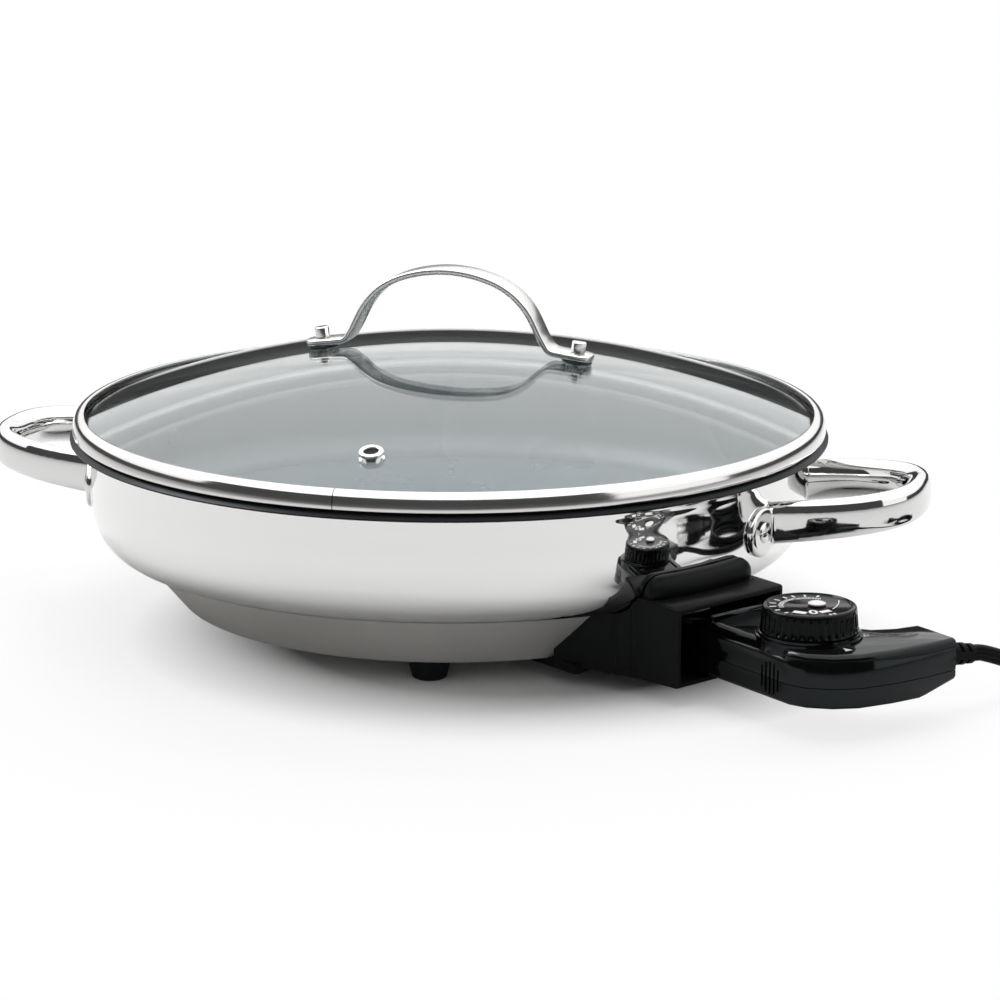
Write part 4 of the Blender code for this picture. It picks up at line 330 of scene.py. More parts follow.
finishes = {
    "polished": polishedSteel(),
    "cast": castSteel(),
    "rolled": rolledSteel(),
    "satin": satinSteel(),
    "base": spunBase(),
    "coat": darkCoat(),
    "glass": domeGlass(),
    "guard": mouldedBlack("guardBlack", 0.009, 0.34, 0.46, 1600.0, 0.0001, 0.08),
    "probe": mouldedBlack("probeBlack", 0.0022, 0.06, 0.12, 900.0, 0.00002, 0.3),
    "dial": mouldedBlack("dialBlack", 0.003, 0.06, 0.12, 900.0, 0.00002, 0.12),
    # the lip's dark coat, painted much darker with the shade that falls under the lid's rim
    "lip": mouldedBlack("lipCoatWithPaintedShade", 0.006, 0.3, 0.4, 900.0, 0.00002, 0.12),
    "rubber": mouldedBlack("cordRubber", 0.0024, 0.36, 0.5, 1800.0, 0.0001, 0.07),
    "foot": mouldedBlack("footRubber", 0.005, 0.5, 0.7, 1500.0, 0.0002, 0.2),
    "gasket": mouldedBlack("gasketRubber", 0.012, 0.3, 0.45, 1500.0, 0.0001),
    "strip": mouldedBlack("tieVinyl", 0.008, 0.4, 0.6, 800.0, 0.0001, 0.15),
    "plated": metalPart("platedSteel", (0.72, 0.72, 0.71), 0.18, 0.34, 500.0),
    "aluminium": metalPart("castAluminium", (0.60, 0.60, 0.61), 0.42, 0.6, 350.0),
    "sheath": metalPart("heaterSheath", (0.25, 0.24, 0.23), 0.45, 0.65, 420.0),
    "brass": metalPart("contactBrass", (0.72, 0.57, 0.29), 0.22, 0.38, 520.0),
    "ceramic": firedCeramic(),
    "ink": whiteInk(),
    "lens": frostedLens(),
}
print("finishes made:", len(finishes))


# modelling helpers

def smoothLine(points, steps, closed=False):
    # a smooth curve through every point
    places = [Vector(point) for point in points]
    if closed:
        padded = [places[-1]] + places + places[:2]
    else:
        first = places[0] * 2 - places[1]
        last = places[-1] * 2 - places[-2]
        padded = [first] + places + [last]
    line = []
    for a, b, c, d in zip(padded, padded[1:], padded[2:], padded[3:]):
        for step in range(steps):
            t = step / steps
            line.append((b * 2 + (c - a) * t + (a * 2 - b * 5 + c * 4 - d) * t ** 2
                         + (b * 3 - a - c * 3 + d) * t ** 3) / 2)
    if not closed:
        line.append(places[-1])
    return line


def beside(line, index):
    # the places just before and just after one place of a line
    return line[max(0, index - 1)], line[min(len(line) - 1, index + 1)]


def sideStep(line, distance):
    # the same open flat line, moved to its left
    moved = []
    for index, here in enumerate(line):
        before, after = beside(line, index)
        heading = (Vector(after) - Vector(before)).normalized()
        moved.append(Vector((here[0] - heading.y * distance, here[1] + heading.x * distance)))
    return moved


def curveRound(centre, width, height, start, end, steps):
    turns = [math.radians(start + (end - start) * step / steps) for step in range(steps + 1)]
    return [
        (centre[0] + width * math.cos(turn), centre[1] + height * math.sin(turn))
        for turn in turns]


def spin(outline, steps=192, where=aboutPan, closed=True):
    # turns an outline of (radius, height) about Z, then puts it in its place
    bm = bmesh.new()
    verts = [bm.verts.new((point[0], 0, point[1])) for point in outline]
    edges = [bm.edges.new(pair) for pair in zip(verts, verts[1:])]
    if closed and not (outline[0][0] == 0 and outline[-1][0] == 0):
        edges.append(bm.edges.new((verts[-1], verts[0])))
    bmesh.ops.spin(
        bm, geom=verts + edges, cent=(0, 0, 0), axis=(0, 0, 1), angle=math.tau,
        steps=steps, use_merge=True)
    bmesh.ops.remove_doubles(bm, verts=bm.verts, dist=0.000005)
    bmesh.ops.recalc_face_normals(bm, faces=bm.faces)
    bmesh.ops.transform(bm, matrix=where, verts=bm.verts)
    return bm


def sweep(section, stations):
    # draws a closed section along a row of placements, each a matrix
    bm = bmesh.new()
    verts = [bm.verts.new(stations[0] @ Vector((across, up, 0))) for across, up in section]
    ring = [bm.edges.new(pair) for pair in zip(verts, verts[1:] + verts[:1])]
    bm.faces.new(verts)
    for before, after in zip(stations, stations[1:]):
        grown = bmesh.ops.extrude_edge_only(bm, edges=ring)["geom"]
        fresh = [part for part in grown if isinstance(part, bmesh.types.BMVert)]
        ring = [part for part in grown if isinstance(part, bmesh.types.BMEdge)]
        ring = [edge for edge in ring if all(vert in fresh for vert in edge.verts)]
        bmesh.ops.transform(bm, matrix=after @ before.inverted(), verts=fresh)
    bmesh.ops.contextual_create(bm, geom=ring)
    bmesh.ops.remove_doubles(bm, verts=bm.verts, dist=0.000005)
    bmesh.ops.recalc_face_normals(bm, faces=bm.faces)
    return bm


def station(centre, across, up, wide=1.0, tall=1.0):
    # a placement with its own across and up directions
    across = across.normalized()
    up = (up - across * up.dot(across)).normalized()
    forward = across.cross(up)
    turn = Matrix((across * wide, up * tall, forward)).transposed().to_4x4()
    return Matrix.Translation(centre) @ turn


def facing(spot, direction):
    turn = Vector(direction).to_track_quat("Z", "Y").to_matrix().to_4x4()
    return Matrix.Translation(spot) @ turn


def softened(piece, width, segments=2, angle=30.0):
    edges = piece.modifiers.new("softEdges", "BEVEL")
    edges.width = width
    edges.segments = segments
    edges.limit_method = "ANGLE"
    edges.angle_limit = math.radians(angle)
    edges.harden_normals = False
    return piece


def addPiece(name, bm, body, finish, stands=(), sharp=35.0):
    mesh = bpy.data.meshes.new(name)
    bm.to_mesh(mesh)
    bm.free()
    mesh.shade_smooth()
    mesh.set_sharp_from_angle(angle=math.radians(sharp))
    mesh.materials.append(finishes[finish])
    piece = show(bpy.data.objects.new(name, mesh))
    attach(piece, body)
    if stands:
        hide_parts(*stands)
    return piece


def mergedCopy(node):
    # a CAD node's solid with its triangles joined into whole faces
    bm = bmesh.new()
    bm.from_mesh(nodes[node].data)
    bmesh.ops.remove_doubles(bm, verts=bm.verts, dist=0.000005)
    limit = math.radians(0.6)
    bmesh.ops.dissolve_limit(bm, angle_limit=limit, verts=bm.verts, edges=bm.edges)
    return bm


def moulded(node, body, finish, width, segments=3):
    # a CAD solid with the small round edges of a moulding or a pressing
    name = "soft" + node.title().replace("_", "")
    piece = addPiece(name, mergedCopy(node), body, finish, [node], 40.0)
    return softened(piece, width, segments, 32.0)


def applied(piece):
    # the piece with its modifiers made real
    view = bpy.context.evaluated_depsgraph_get()
    mesh = bpy.data.meshes.new_from_object(piece.evaluated_get(view))
    piece.modifiers.clear()
    piece.data = mesh
    return piece


# cord: a flat two-core lead on its thin side, from the strain relief to the coil and plug

guardTurn = math.radians(-32.2989)
atGuard = aboutPan @ Matrix.Rotation(guardTurn, 4, "Z")

cord = {
    "tip": (0.23646, -0.07885, 0.02155),  # the strain relief's end, from the pan's axis
    "lean": 7.3,
    "droop": 8.0,
    "width": 0.0065,
    "thickness": 0.0044,
    "places": [
        (0.0146, 0.0188, 0.0142), (0.0211, 0.0333, 0.0082), (0.0236, 0.0488, 0.0052),
        (0.0228, 0.0648, 0.0046), (0.0226, 0.0788, 0.0046),
    ],
    "coilCentre": (0.0666, 0.0928),
    "coilRadius": 0.0410,
    "coilPitch": 0.0070,
    "layerRise": 0.0070,
    "turns": 3.5,
    "startAngle": 168.0,
    "firstLayer": 0.00455,
    "straight": 0.0070,
    "tail": 0.0330,
    "tailDrop": 0.0028,
    "gap": 0.0003,  # between the lead's ends and what they meet
    "leadIn": 0.0065,  # the straight run at each end of the lead
}

# half of the lead's section: two round cores with a groove between them
cordSection = [
    (0.30, 0.06), (0.44, 0.13), (0.50, 0.25), (0.44, 0.38), (0.28, 0.47), (0.0, 0.50),
]


def cordHeading():
    lean = math.radians(cord["lean"])
    droop = math.radians(cord["droop"])
    level = Vector((math.sin(lean), math.cos(lean), 0)) * math.cos(droop)
    return (atGuard.to_3x3() @ (level - Vector((0, 0, math.sin(droop))))).normalized()


def coilPlaces(tip):
    centre = tip + Vector((*cord["coilCentre"], -tip.z))
    turns = cord["turns"]
    start = math.radians(cord["startAngle"])
    count = round(turns * 36)
    line = []
    for step in range(count + 1):
        turn = turns * step / count
        inward = min(turn, turns - turn)
        reach = cord["coilRadius"] - cord["coilPitch"] * inward
        climb = min(1, max(0, (turn - turns / 2) / 0.5 + 0.5))
        angle = start - math.tau * turn
        height = cord["firstLayer"] + cord["layerRise"] * climb
        line.append(centre + Vector((reach * math.cos(angle), reach * math.sin(angle), height)))
    first = Vector((math.sin(start), -math.cos(start), 0))
    finalAngle = start - math.tau * turns
    last = Vector((math.sin(finalAngle), -math.cos(finalAngle), 0))
    tail = []
    for step in range(1, 11):
        eased = min(1, max(0, (step / 2 - 1) / 3))
        drop = Vector((0, 0, cord["tailDrop"] * eased ** 2 * (3 - eased * 2)))
        tail.append(line[-1] + last * (cord["tail"] * step / 10) - drop)
    return [line[0] - first * cord["straight"]] + line + tail, first


def cordStations(line):
    stations = []
    for index, here in enumerate(line):
        before, after = beside(line, index)
        heading = (after - before).normalized()
        level = Vector((heading.y, -heading.x, 0))
        upward = heading.cross(level) * -1
        stations.append(station(here, level, upward, cord["thickness"], cord["width"]))
    return stations


def runLength(line):
    return sum((b - a).length for a, b in zip(line, line[1:]))


def addCords():
    tip = panAxis + Vector(cord["tip"])
    heading = cordHeading()
    coil, first = coilPlaces(tip)
    start = tip + heading * cord["gap"]
    end = coil[0] - first * cord["gap"]
    places = [start, start + heading * cord["leadIn"]]
    places += [Vector((tip.x + x, tip.y + y, z)) for x, y, z in cord["places"]]
    places += [end - first * cord["leadIn"], end]
    lead = smoothLine(places, 4)
    upper = cordSection
    section = upper + [(-x, y) for x, y in upper[-2::-1]]
    section += [(-x, -y) for x, y in upper] + [(x, -y) for x, y in upper[-2::-1]]
    leadPiece = addPiece(
        "flatLead", sweep(section, cordStations(lead)), "probe", "rubber",
        ["power_cord"], 60.0)
    coilPiece = addPiece(
        "leadCoil", sweep(section, cordStations(coil)), "probe", "rubber",
        ["cord_coil"], 60.0)
    return leadPiece, coilPiece, lead, coil


flatLead, leadCoil, leadLine, coilLine = addCords()
print("cord: lead", round(runLength(leadLine), 4), "coil", round(runLength(coilLine), 4))


# bowl: polished outside, a dark coat inside, and the coat over the lip painted darker with the shade
# under the lid's rim

bowl = {
    "radius": 0.1528,
    "wall": 0.0010,
    "underside": 0.0320,
    "floor": 0.0035,
    "corner": (0.0138, 0.0180),
    "innerCorner": (0.0130, 0.0150),
    "wallTop": 0.0745,
    "lipReach": 0.0085,
    "lipRise": 0.0057,
    "lipShares": [(0.0, 0.0), (0.05, 0.50), (0.28, 0.88), (0.62, 1.0), (1.0, 0.66)],
    "coatThickness": 0.00025,
    "paintedShadeBandStart": 12,  # the step of the lip where its band of coat with painted shade begins
    "coatSink": 0.00005,  # how far the steel stays clear of the coat's back
    "cornerEnd": -8.0,
    "barrel": 0.00066,  # how far the wall's foot draws in
    # heights up the wall, with how far it stands out from the radius there
    "wallSway": [
        (0.0520, -0.00038), (0.0570, -0.00009), (0.0625, 0.0), (0.0680, 0.00002),
        (0.0715, 0.00018),
    ],
    "flare": 0.0005,  # how far the wall's top opens out
}


def lipLine():
    start = bowl["radius"] + bowl["flare"] - bowl["wall"] / 2
    reach = bowl["lipReach"] - bowl["flare"]
    points = [
        (start + reach * out, bowl["wallTop"] + bowl["lipRise"] * up)
        for out, up in bowl["lipShares"]]
    return smoothLine(points, 8)


def addBowl():
    radius, wall = bowl["radius"], bowl["wall"]
    low, floor = bowl["underside"], bowl["underside"] + bowl["floor"]
    width, height = bowl["corner"]
    outside = curveRound(
        (radius - width - bowl["barrel"], low + height), width, height, -90, bowl["cornerEnd"], 24)
    sway = [outside[-1]] + [(radius + out, height) for height, out in bowl["wallSway"]]
    sway.append((radius + bowl["flare"] - 0.00002, bowl["wallTop"] - 0.0004))
    outside = outside[:-1] + [tuple(point) for point in smoothLine(sway, 4)]
    width, height = bowl["innerCorner"]
    inside = curveRound((radius - wall - width, floor + height), width, height, -90, 0, 20)
    lip = lipLine()
    under = sideStep(lip, -wall / 2)
    over = sideStep(lip, wall / 2)
    depth = bowl["coatThickness"] + bowl["coatSink"]
    sunk = sideStep([(0, floor)] + inside + [tuple(point) for point in over], -depth)
    tipRound = lip[-1] + (lip[-1] - lip[-2]).normalized() * (wall * 0.3)
    outline = [(0, low)] + outside + under + [tipRound] + sunk[::-1]
    outline[-1] = (0, floor - depth)
    addPiece("bowlSteel", spin(outline, 256), "skillet", "polished", ["pan"])
    brink = bowl["paintedShadeBandStart"]
    over = [tuple(point) for point in over]
    skins = {
        "bowlCoat": ([(0, floor)] + inside + over[:brink + 1], "coat"),
        # the lip's band: real coat, with painted shade from the lid's rim in its colour
        "lipPaintedShadeBand": (over[brink:] + [tuple(tipRound)], "lip"),
    }
    for name, (skin, finish) in skins.items():
        bm = spin(skin, 256, closed=False)
        piece = addPiece(name, bm, "skillet", finish, ["pan"])
        shell = piece.modifiers.new("coatDepth", "SOLIDIFY")
        shell.thickness = bowl["coatThickness"]
        shell.offset = -1.0
        applied(piece)


addBowl()
print("bowl done")


# base cover under the bowl, spun from sheet

cover = {
    "bottom": 0.0088,
    "footRadius": 0.1155,
    "topRadius": 0.1336,
    "top": 0.0317,
    "thickness": 0.0008,
    "edge": 0.0022,
}


def addCover():
    low, edge = cover["bottom"], cover["edge"]
    foot = cover["footRadius"]
    bend = curveRound((foot - edge * 0.6, low + edge), edge, edge, -90, -34, 6)
    line = [(0, low)] + bend + [(cover["topRadius"], cover["top"] - 0.0009)]
    line += [(cover["topRadius"], cover["top"])]
    inner = sideStep(line, cover["thickness"])
    inner[0] = (0, low + cover["thickness"])
    outline = line + inner[::-1]
    addPiece("spunCover", spin(outline, 256), "skillet", "base", ["base_cover"])


addCover()
print("base cover done")


# side handles: cast loops that swell out of round riveted flanges

handle = {
    "start": 0.1460,
    "projection": 0.0530,
    "halfSpacing": 0.0383,
    "roundness": 2.6,
    "mountHeight": 0.0576,
    "rise": 0.117,
    "thickness": (0.0066, 0.0106),  # at the flange, and at the middle of the loop
    "height": (0.0176, 0.0158),
    "section": [
        (0.50, -0.27), (0.50, 0.22), (0.34, 0.46), (0.0, 0.50), (-0.38, 0.32),
        (-0.50, -0.05), (-0.34, -0.40), (0.0, -0.50), (0.36, -0.46),
    ],
    "flangeRadius": 0.0104,
    "flangeThickness": 0.0019,
    "flangeDepth": 0.006,  # how far the flange runs into the wall before it is trimmed
    "rivetAngle": 17.5998,
    "rivetHeight": 0.0556,
    "voxel": 0.0005,
    "smoothing": 7,
}


def handleStations():
    far = bowl["radius"] + handle["projection"] - handle["thickness"][1] / 2
    start = handle["start"]
    route = []
    for step in range(73):
        angle = -math.pi / 2 + math.pi * step / 72
        power = 2 / handle["roundness"]
        out = max(0, math.cos(angle)) ** power
        across = math.copysign(abs(math.sin(angle)) ** power, math.sin(angle))
        along = start + (far - start) * out
        height = handle["mountHeight"] + handle["rise"] * (along - start)
        route.append((Vector((along, handle["halfSpacing"] * across, height)), out))
    stations = []
    for index, (centre, out) in enumerate(route):
        (before, _), (after, _) = beside(route, index)
        heading = (after - before).to_2d().normalized()
        outward = Vector((heading.y, -heading.x, 0))
        wide = handle["thickness"][0] + (handle["thickness"][1] - handle["thickness"][0]) * out
        tall = handle["height"][0] + (handle["height"][1] - handle["height"][0]) * out
        stations.append(station(centre, outward, Vector((0, 0, 1)), wide, tall))
    return stations


def flange(angle):
    # one riveted end, dished round the rivet
    reach, thick, depth = handle["flangeRadius"], handle["flangeThickness"], handle["flangeDepth"]
    outline = [
        (0, -depth), (reach, -depth), (reach, thick * 0.45), (reach * 0.93, thick * 0.86),
        (reach * 0.8, thick), (0, thick),
    ]
    direction = compass(angle)
    spot = direction * (bowl["radius"] + 0.0003) + Vector((0, 0, handle["rivetHeight"]))
    return spin(outline, 40, facing(spot, direction))


def clearOfWall(bm, axis):
    # lays the back of the flanges against the bowl's wall
    reach = bowl["radius"] + 0.00015
    for vert in bm.verts:
        outward = (vert.co - axis).to_2d()
        if outward.length < reach:
            outward = outward.normalized() * reach
            vert.co.x, vert.co.y = axis.x + outward.x, axis.y + outward.y


def addHandle(name, turn, node):
    bm = sweep(smoothLine(handle["section"], 4, closed=True), handleStations())
    mesh = bpy.data.meshes.new(name)
    for side in (-handle["rivetAngle"], handle["rivetAngle"]):
        disc = flange(side)
        disc.to_mesh(mesh)
        disc.free()
        bm.from_mesh(mesh)
    bmesh.ops.transform(bm, matrix=Matrix.Rotation(turn, 4, "Z"), verts=bm.verts)
    piece = addPiece(name, bm, "skillet", "cast", [node], 80.0)
    bpy.data.meshes.remove(mesh)
    blend = piece.modifiers.new("castAsOne", "REMESH")
    blend.mode = "VOXEL"
    blend.voxel_size = handle["voxel"]
    blend.use_smooth_shade = True
    applied(piece)
    bm = bmesh.new()
    bm.from_mesh(piece.data)
    for repeat in range(handle["smoothing"]):
        bmesh.ops.smooth_vert(
            bm, verts=bm.verts, factor=0.5, use_axis_x=True, use_axis_y=True, use_axis_z=True)
    clearOfWall(bm, Vector((0, 0, 0)))
    bmesh.ops.translate(bm, vec=panAxis, verts=bm.verts)
    bm.to_mesh(piece.data)
    bm.free()
    piece.data.shade_smooth()
    return piece


addHandle("castHandleRight", 0.0, "side_handle_right")
addHandle("castHandleLeft", math.pi, "side_handle_left")

rivet = {
    "headRadius": 0.0043,
    "headHeight": 0.0014,
    "seat": 0.0021,
    "shank": 0.0020,
    "depth": 0.0018,
    "innerRadius": 0.0044,
    "innerHeight": 0.0008,
}


def addRivets():
    head, low, shank, depth = (rivet[key] for key in ("headRadius", "seat", "shank", "depth"))
    dome = curveRound((0, low), head, rivet["headHeight"], 0, 90, 10)
    outer = [(0, -depth), (shank, -depth), (shank, low), (head * 0.96, low)] + dome
    outer[-1] = (0, outer[-1][1])
    inner = curveRound((0, -depth), rivet["innerRadius"], rivet["innerHeight"], -90, 0, 8)
    inner.append((0, -depth))
    inner[0] = (0, inner[0][1])
    index = 0
    for side in (0.0, 180.0):
        for angle in (-handle["rivetAngle"], handle["rivetAngle"]):
            index += 1
            direction = compass(side + angle)
            spot = panAxis + direction * bowl["radius"] + Vector((0, 0, handle["rivetHeight"]))
            place = facing(spot, direction)
            parts = (
                ("domedRivet", outer, "cast", "polished_steel"),
                ("coatedHead", inner, "coat", "matte_black"),
            )
            for name, outline, finish, slot in parts:
                bm = spin(outline, 40, place)
                addPiece(f"{name}{index}", bm, "skillet", finish, [f"handle_rivet_{index}"])


addRivets()
print("handles and rivets done")


# lid: glass dome in a rolled steel rim, with a strap handle and a vent

lid = {
    "rimRadius": 0.1600,
    "rimBottom": 0.0810,
    "rimHeight": 0.0075,
    "rimDepth": 0.0045,
    "rimThickness": 0.0008,
    "rimShares": [
        (1.0, 0.985), (0.85, 1.0), (0.63, 0.98), (0.43, 0.92), (0.26, 0.82), (0.15, 0.68),
        (0.07, 0.50), (0.02, 0.28), (0.0, 0.10), (0.05, 0.01), (0.3, 0.0), (0.94, 0.0),
    ],
    "dome": 0.4356,
    "glassEdge": 0.1562,
    "glassRise": 0.0046,
    "glassThickness": 0.0038,
    "boltRadius": 0.0560,
    "ventRadius": 0.1256,
    "ventAzimuth": -87.0,
}


def domeHeight(radius):
    dome = lid["dome"]
    drop = math.sqrt(dome ** 2 - lid["glassEdge"] ** 2)
    return lid["rimBottom"] + lid["glassRise"] + math.sqrt(dome ** 2 - radius ** 2) - drop


def onDome(radius, azimuth):
    # a placement that stands square on the glass
    tilt = Matrix.Rotation(math.asin(radius / lid["dome"]), 4, "Y")
    turn = Matrix.Rotation(math.radians(azimuth), 4, "Z")
    lift = Matrix.Translation((radius, 0, domeHeight(radius)))
    return aboutPan @ turn @ lift @ tilt


def addGlass():
    edge, thick = lid["glassEdge"], lid["glassThickness"]
    top = [(edge * step / 40, domeHeight(edge * step / 40)) for step in range(41)]
    under = [(radius, height - thick) for radius, height in top[:-1]]
    under.append((edge - 0.0010, domeHeight(edge - 0.0010) - thick))
    outline = under + [(edge, top[-1][1] - thick + 0.0010)] + top[::-1]
    addPiece("glassDome", spin(outline, 256), "lid", "glass", ["lid_glass"], 50.0)


def addRim():
    middle = lid["rimThickness"] / 2
    points = [
        (lid["rimRadius"] - middle - lid["rimDepth"] * inward,
         lid["rimBottom"] + middle + (lid["rimHeight"] - middle) * up)
        for inward, up in lid["rimShares"]]
    line = smoothLine(points, 4)
    outline = sideStep(line, -middle) + sideStep(line, middle)[::-1]
    addPiece("rolledRim", spin(outline, 256), "lid", "rolled", ["lid_rim"], 60.0)


addGlass()
addRim()

strap = {
    "footHalf": 0.0066,
    "width": 0.0130,
    "thickness": 0.0026,
    "height": 0.0380,
    "footStep": 0.0034,
    "spanInset": 0.0068,
    "edge": 0.0008,
    "corner": 0.0045,
    "gasket": 0.0012,
    "shares": [
        (0.0, 1.0), (0.22, 0.97), (0.42, 0.89), (0.57, 0.775), (0.675, 0.64),
        (0.745, 0.505), (0.80, 0.355), (0.852, 0.21), (0.918, 0.085),
    ],
}


def strapLine():
    tilt = math.asin(lid["boltRadius"] / lid["dome"])
    lift = 0.0006 + strap["gasket"] + strap["thickness"] / 2
    foot = Vector((
        lid["boltRadius"] + lift * math.sin(tilt),
        domeHeight(lid["boltRadius"]) + lift * math.cos(tilt)))
    along = Vector((math.cos(tilt), -math.sin(tilt))) * strap["footHalf"]
    crown = domeHeight(lid["boltRadius"]) + strap["height"] - strap["thickness"] / 2
    half = lid["boltRadius"] - strap["spanInset"]
    fall = strap["height"] - strap["footStep"]
    rise = [Vector((half * out, crown - fall * (1 - up))) for out, up in strap["shares"]]
    return [foot + along, foot - along * 0.9] + rise[::-1]


def addStrap():
    half = strapLine()
    beyond = Vector((-half[-2].x, half[-2].y))
    bend = smoothLine([half[0], (half[0] + half[1]) / 2] + half[1:] + [beyond], 6)
    bend = [point for point in bend if point.x > -0.0001]
    foot = half[0]
    heading = (half[0] - half[1]).normalized()
    nose = []
    corner, full = strap["corner"], strap["width"] / 2
    for step in range(9):
        angle = math.radians(90 - 90 * step / 8)
        back, inset = corner * (1 - math.sin(angle)), corner * (1 - math.cos(angle))
        nose.append((foot - heading * back, full - inset))
    body = [(point, full) for point in bend if (point - foot).length > corner * 1.15]
    side = nose + body
    if abs(side[-1][0].x) < 0.0002:
        side.pop()
    route = [(Vector((-point.x, point.y)), wide) for point, wide in side]
    route += [(Vector((0, half[-1].y)), full)] + side[::-1]
    stations = []
    for index, (centre, wide) in enumerate(route):
        (before, _), (after, _) = beside(route, index)
        run = (after - before).normalized()
        up = Vector((-run.y, 0, run.x))
        spot = panAxis + Vector((centre.x, 0, centre.y))
        stations.append(station(spot, Vector((0, -1, 0)), up, wide, strap["thickness"]))
    edge = strap["edge"] / strap["thickness"]
    slim = strap["edge"] / full
    section = []
    for quarter, (wide, tall) in enumerate(((1, 1), (-1, 1), (-1, -1), (1, -1))):
        centre = (wide * (1 - slim), tall * (0.5 - edge))
        section += curveRound(centre, slim, edge, quarter * 90, quarter * 90 + 90, 4)
    bm = sweep(section, stations)
    addPiece("strapHandle", bm, "lid", "satin", ["lid_strap"], 50.0)


addStrap()

fixing = {
    "boltHead": 0.0031,
    "boltHeight": 0.0045,
    "shank": 0.0020,
    "nut": 0.0045,
    "nutHeight": 0.0036,
    "tail": 0.0012,
    "clearance": 0.0003,
}


def addStrapFixings(label, azimuth):
    place = onDome(lid["boltRadius"], azimuth)
    side = label.lower()
    gap, wide, shank = fixing["clearance"], fixing["boltHead"], fixing["shank"]
    bore = shank + gap
    full = strap["width"] / 2
    low, top = gap, gap + strap["gasket"]
    outline = [(bore, low), (full - 0.0002, low), (full, low + 0.0003), (full, top - 0.0003)]
    outline += [(full - 0.0002, top), (bore, top)]
    bm = spin(outline, 48, place)
    addPiece(f"gasket{label}", bm, "lid", "gasket", [f"strap_gasket_{side}"])
    head = 0.0009 + strap["gasket"] + strap["thickness"]
    crown = head + fixing["boltHeight"]
    nutTop = -lid["glassThickness"] - gap
    tail = nutTop - fixing["nutHeight"] - fixing["tail"]
    outline = [(0, tail), (shank - 0.0004, tail), (shank, tail + 0.0004), (shank, head)]
    outline += [(wide - 0.0002, head), (wide, head + 0.0002)]
    outline += curveRound((wide - 0.0006, crown - 0.0006), 0.0006, 0.0006, 0, 80, 5)
    outline += [(0, crown - 0.0001)]
    bm = spin(outline, 48, place)
    addPiece(f"strapBolt{label}", bm, "lid", "rolled", [f"strap_bolt_{side}"])
    low = nutTop - fixing["nutHeight"]
    wide = fixing["nut"]
    outline = [(bore, low), (wide - 0.0005, low), (wide, low + 0.0004), (wide, nutTop)]
    outline.append((bore, nutTop))
    bm = spin(outline, 6, place)
    addPiece(f"strapNut{label}", bm, "lid", "plated", [f"strap_nut_{side}"])


addStrapFixings("Right", 0.0)
addStrapFixings("Left", 180.0)

vent = {"flange": 0.0051, "sleeve": 0.0034, "bore": 0.0029, "height": 0.0014}


def addVent():
    flange, height, bore = vent["flange"], vent["height"], vent["bore"]
    low = -lid["glassThickness"] - 0.0003
    outline = [(bore, low - height * 0.7), (flange * 0.8, low - height * 0.7)]
    outline += [(flange, low - height * 0.3), (flange, low), (vent["sleeve"], low)]
    outline += [(vent["sleeve"], 0.0003), (flange, 0.0003)]
    outline += curveRound((flange * 0.8, 0.0003 + height * 0.3), flange * 0.2, height * 0.7, 0, 90, 6)
    outline += curveRound((bore + 0.0008, 0.0003 + height * 0.5), 0.0008, height * 0.5, 90, 180, 4)
    place = onDome(lid["ventRadius"], lid["ventAzimuth"])
    addPiece("ventGrommet", spin(outline, 64, place), "lid", "rolled", ["vent_grommet"])
    # a thin dark disc across the bore: painted shade standing for the vent's open hole
    shadeDisc = [(0, 0.0003), (bore, 0.0003), (bore, 0.0005), (0, 0.0005)]
    addPiece("ventShadeDisc", spin(shadeDisc, 48, place), "lid", "foot", ["vent_grommet"])


addVent()
print("lid done")


# guard round the probe's socket

moulded("probe_guard", "skillet", "guard", 0.0006)
print("guard done")


# probe shells

moulded("probe_upper_shell", "probe", "probe", 0.0005)
moulded("probe_lower_shell", "probe", "probe", 0.0005)
print("probe shells done")


# dial: ribbed skirt, plain band, and a sunk face with its scale

dial = {
    "along": 0.2120,
    "bottom": 0.0359,
    "height": 0.0100,
    "bottomRadius": 0.0190,
    "topRadius": 0.0181,
    "faceRadius": 0.0165,
    "faceDepth": 0.0007,
    "ribs": 36,
    "ribDepth": 0.0005,
    "ribLow": 0.0008,
    "ribHigh": 0.0076,
    "levels": (0.0008, 0.0012, 0.0030, 0.0052, 0.0072, 0.0076),
    "socketRadius": 0.0033,
    "socketDepth": 0.0063,
}


def addDial():
    low, tall = dial["bottomRadius"], dial["height"]
    top, face = dial["topRadius"], dial["faceRadius"]
    slope = (top - low) / tall
    sink = tall - dial["faceDepth"]
    socket, depth = dial["socketRadius"], dial["socketDepth"]
    outline = [(0, depth), (socket, depth), (socket, 0), (low - 0.0003, 0), (low, 0.0003)]
    outline += [(low + slope * height, height) for height in dial["levels"]]
    outline += curveRound((top - 0.0011, tall - 0.0011), 0.0011, 0.0011, 0, 80, 6)
    outline += [(face, tall), (face - 0.0006, sink + 0.0001), (face - 0.0010, sink), (0, sink)]
    place = atGuard @ Matrix.Translation((dial["along"], 0, dial["bottom"]))
    steps = dial["ribs"] * 8
    bm = spin(outline, steps, Matrix.Identity(4))
    for vert in bm.verts:
        reach = vert.co.to_2d().length
        if dial["ribLow"] + 0.0001 < vert.co.z < dial["ribHigh"] - 0.0001 and reach > face:
            turn = math.atan2(vert.co.y, vert.co.x) * dial["ribs"]
            cut = dial["ribDepth"] * (0.5 - 0.5 * math.cos(turn)) ** 1.5
            vert.co.x *= 1 - cut / reach
            vert.co.y *= 1 - cut / reach
    bmesh.ops.transform(bm, matrix=place, verts=bm.verts)
    addPiece("ribbedDial", bm, "dial_knob", "dial", ["dial"], 42.0)
    return place


atDial = addDial()

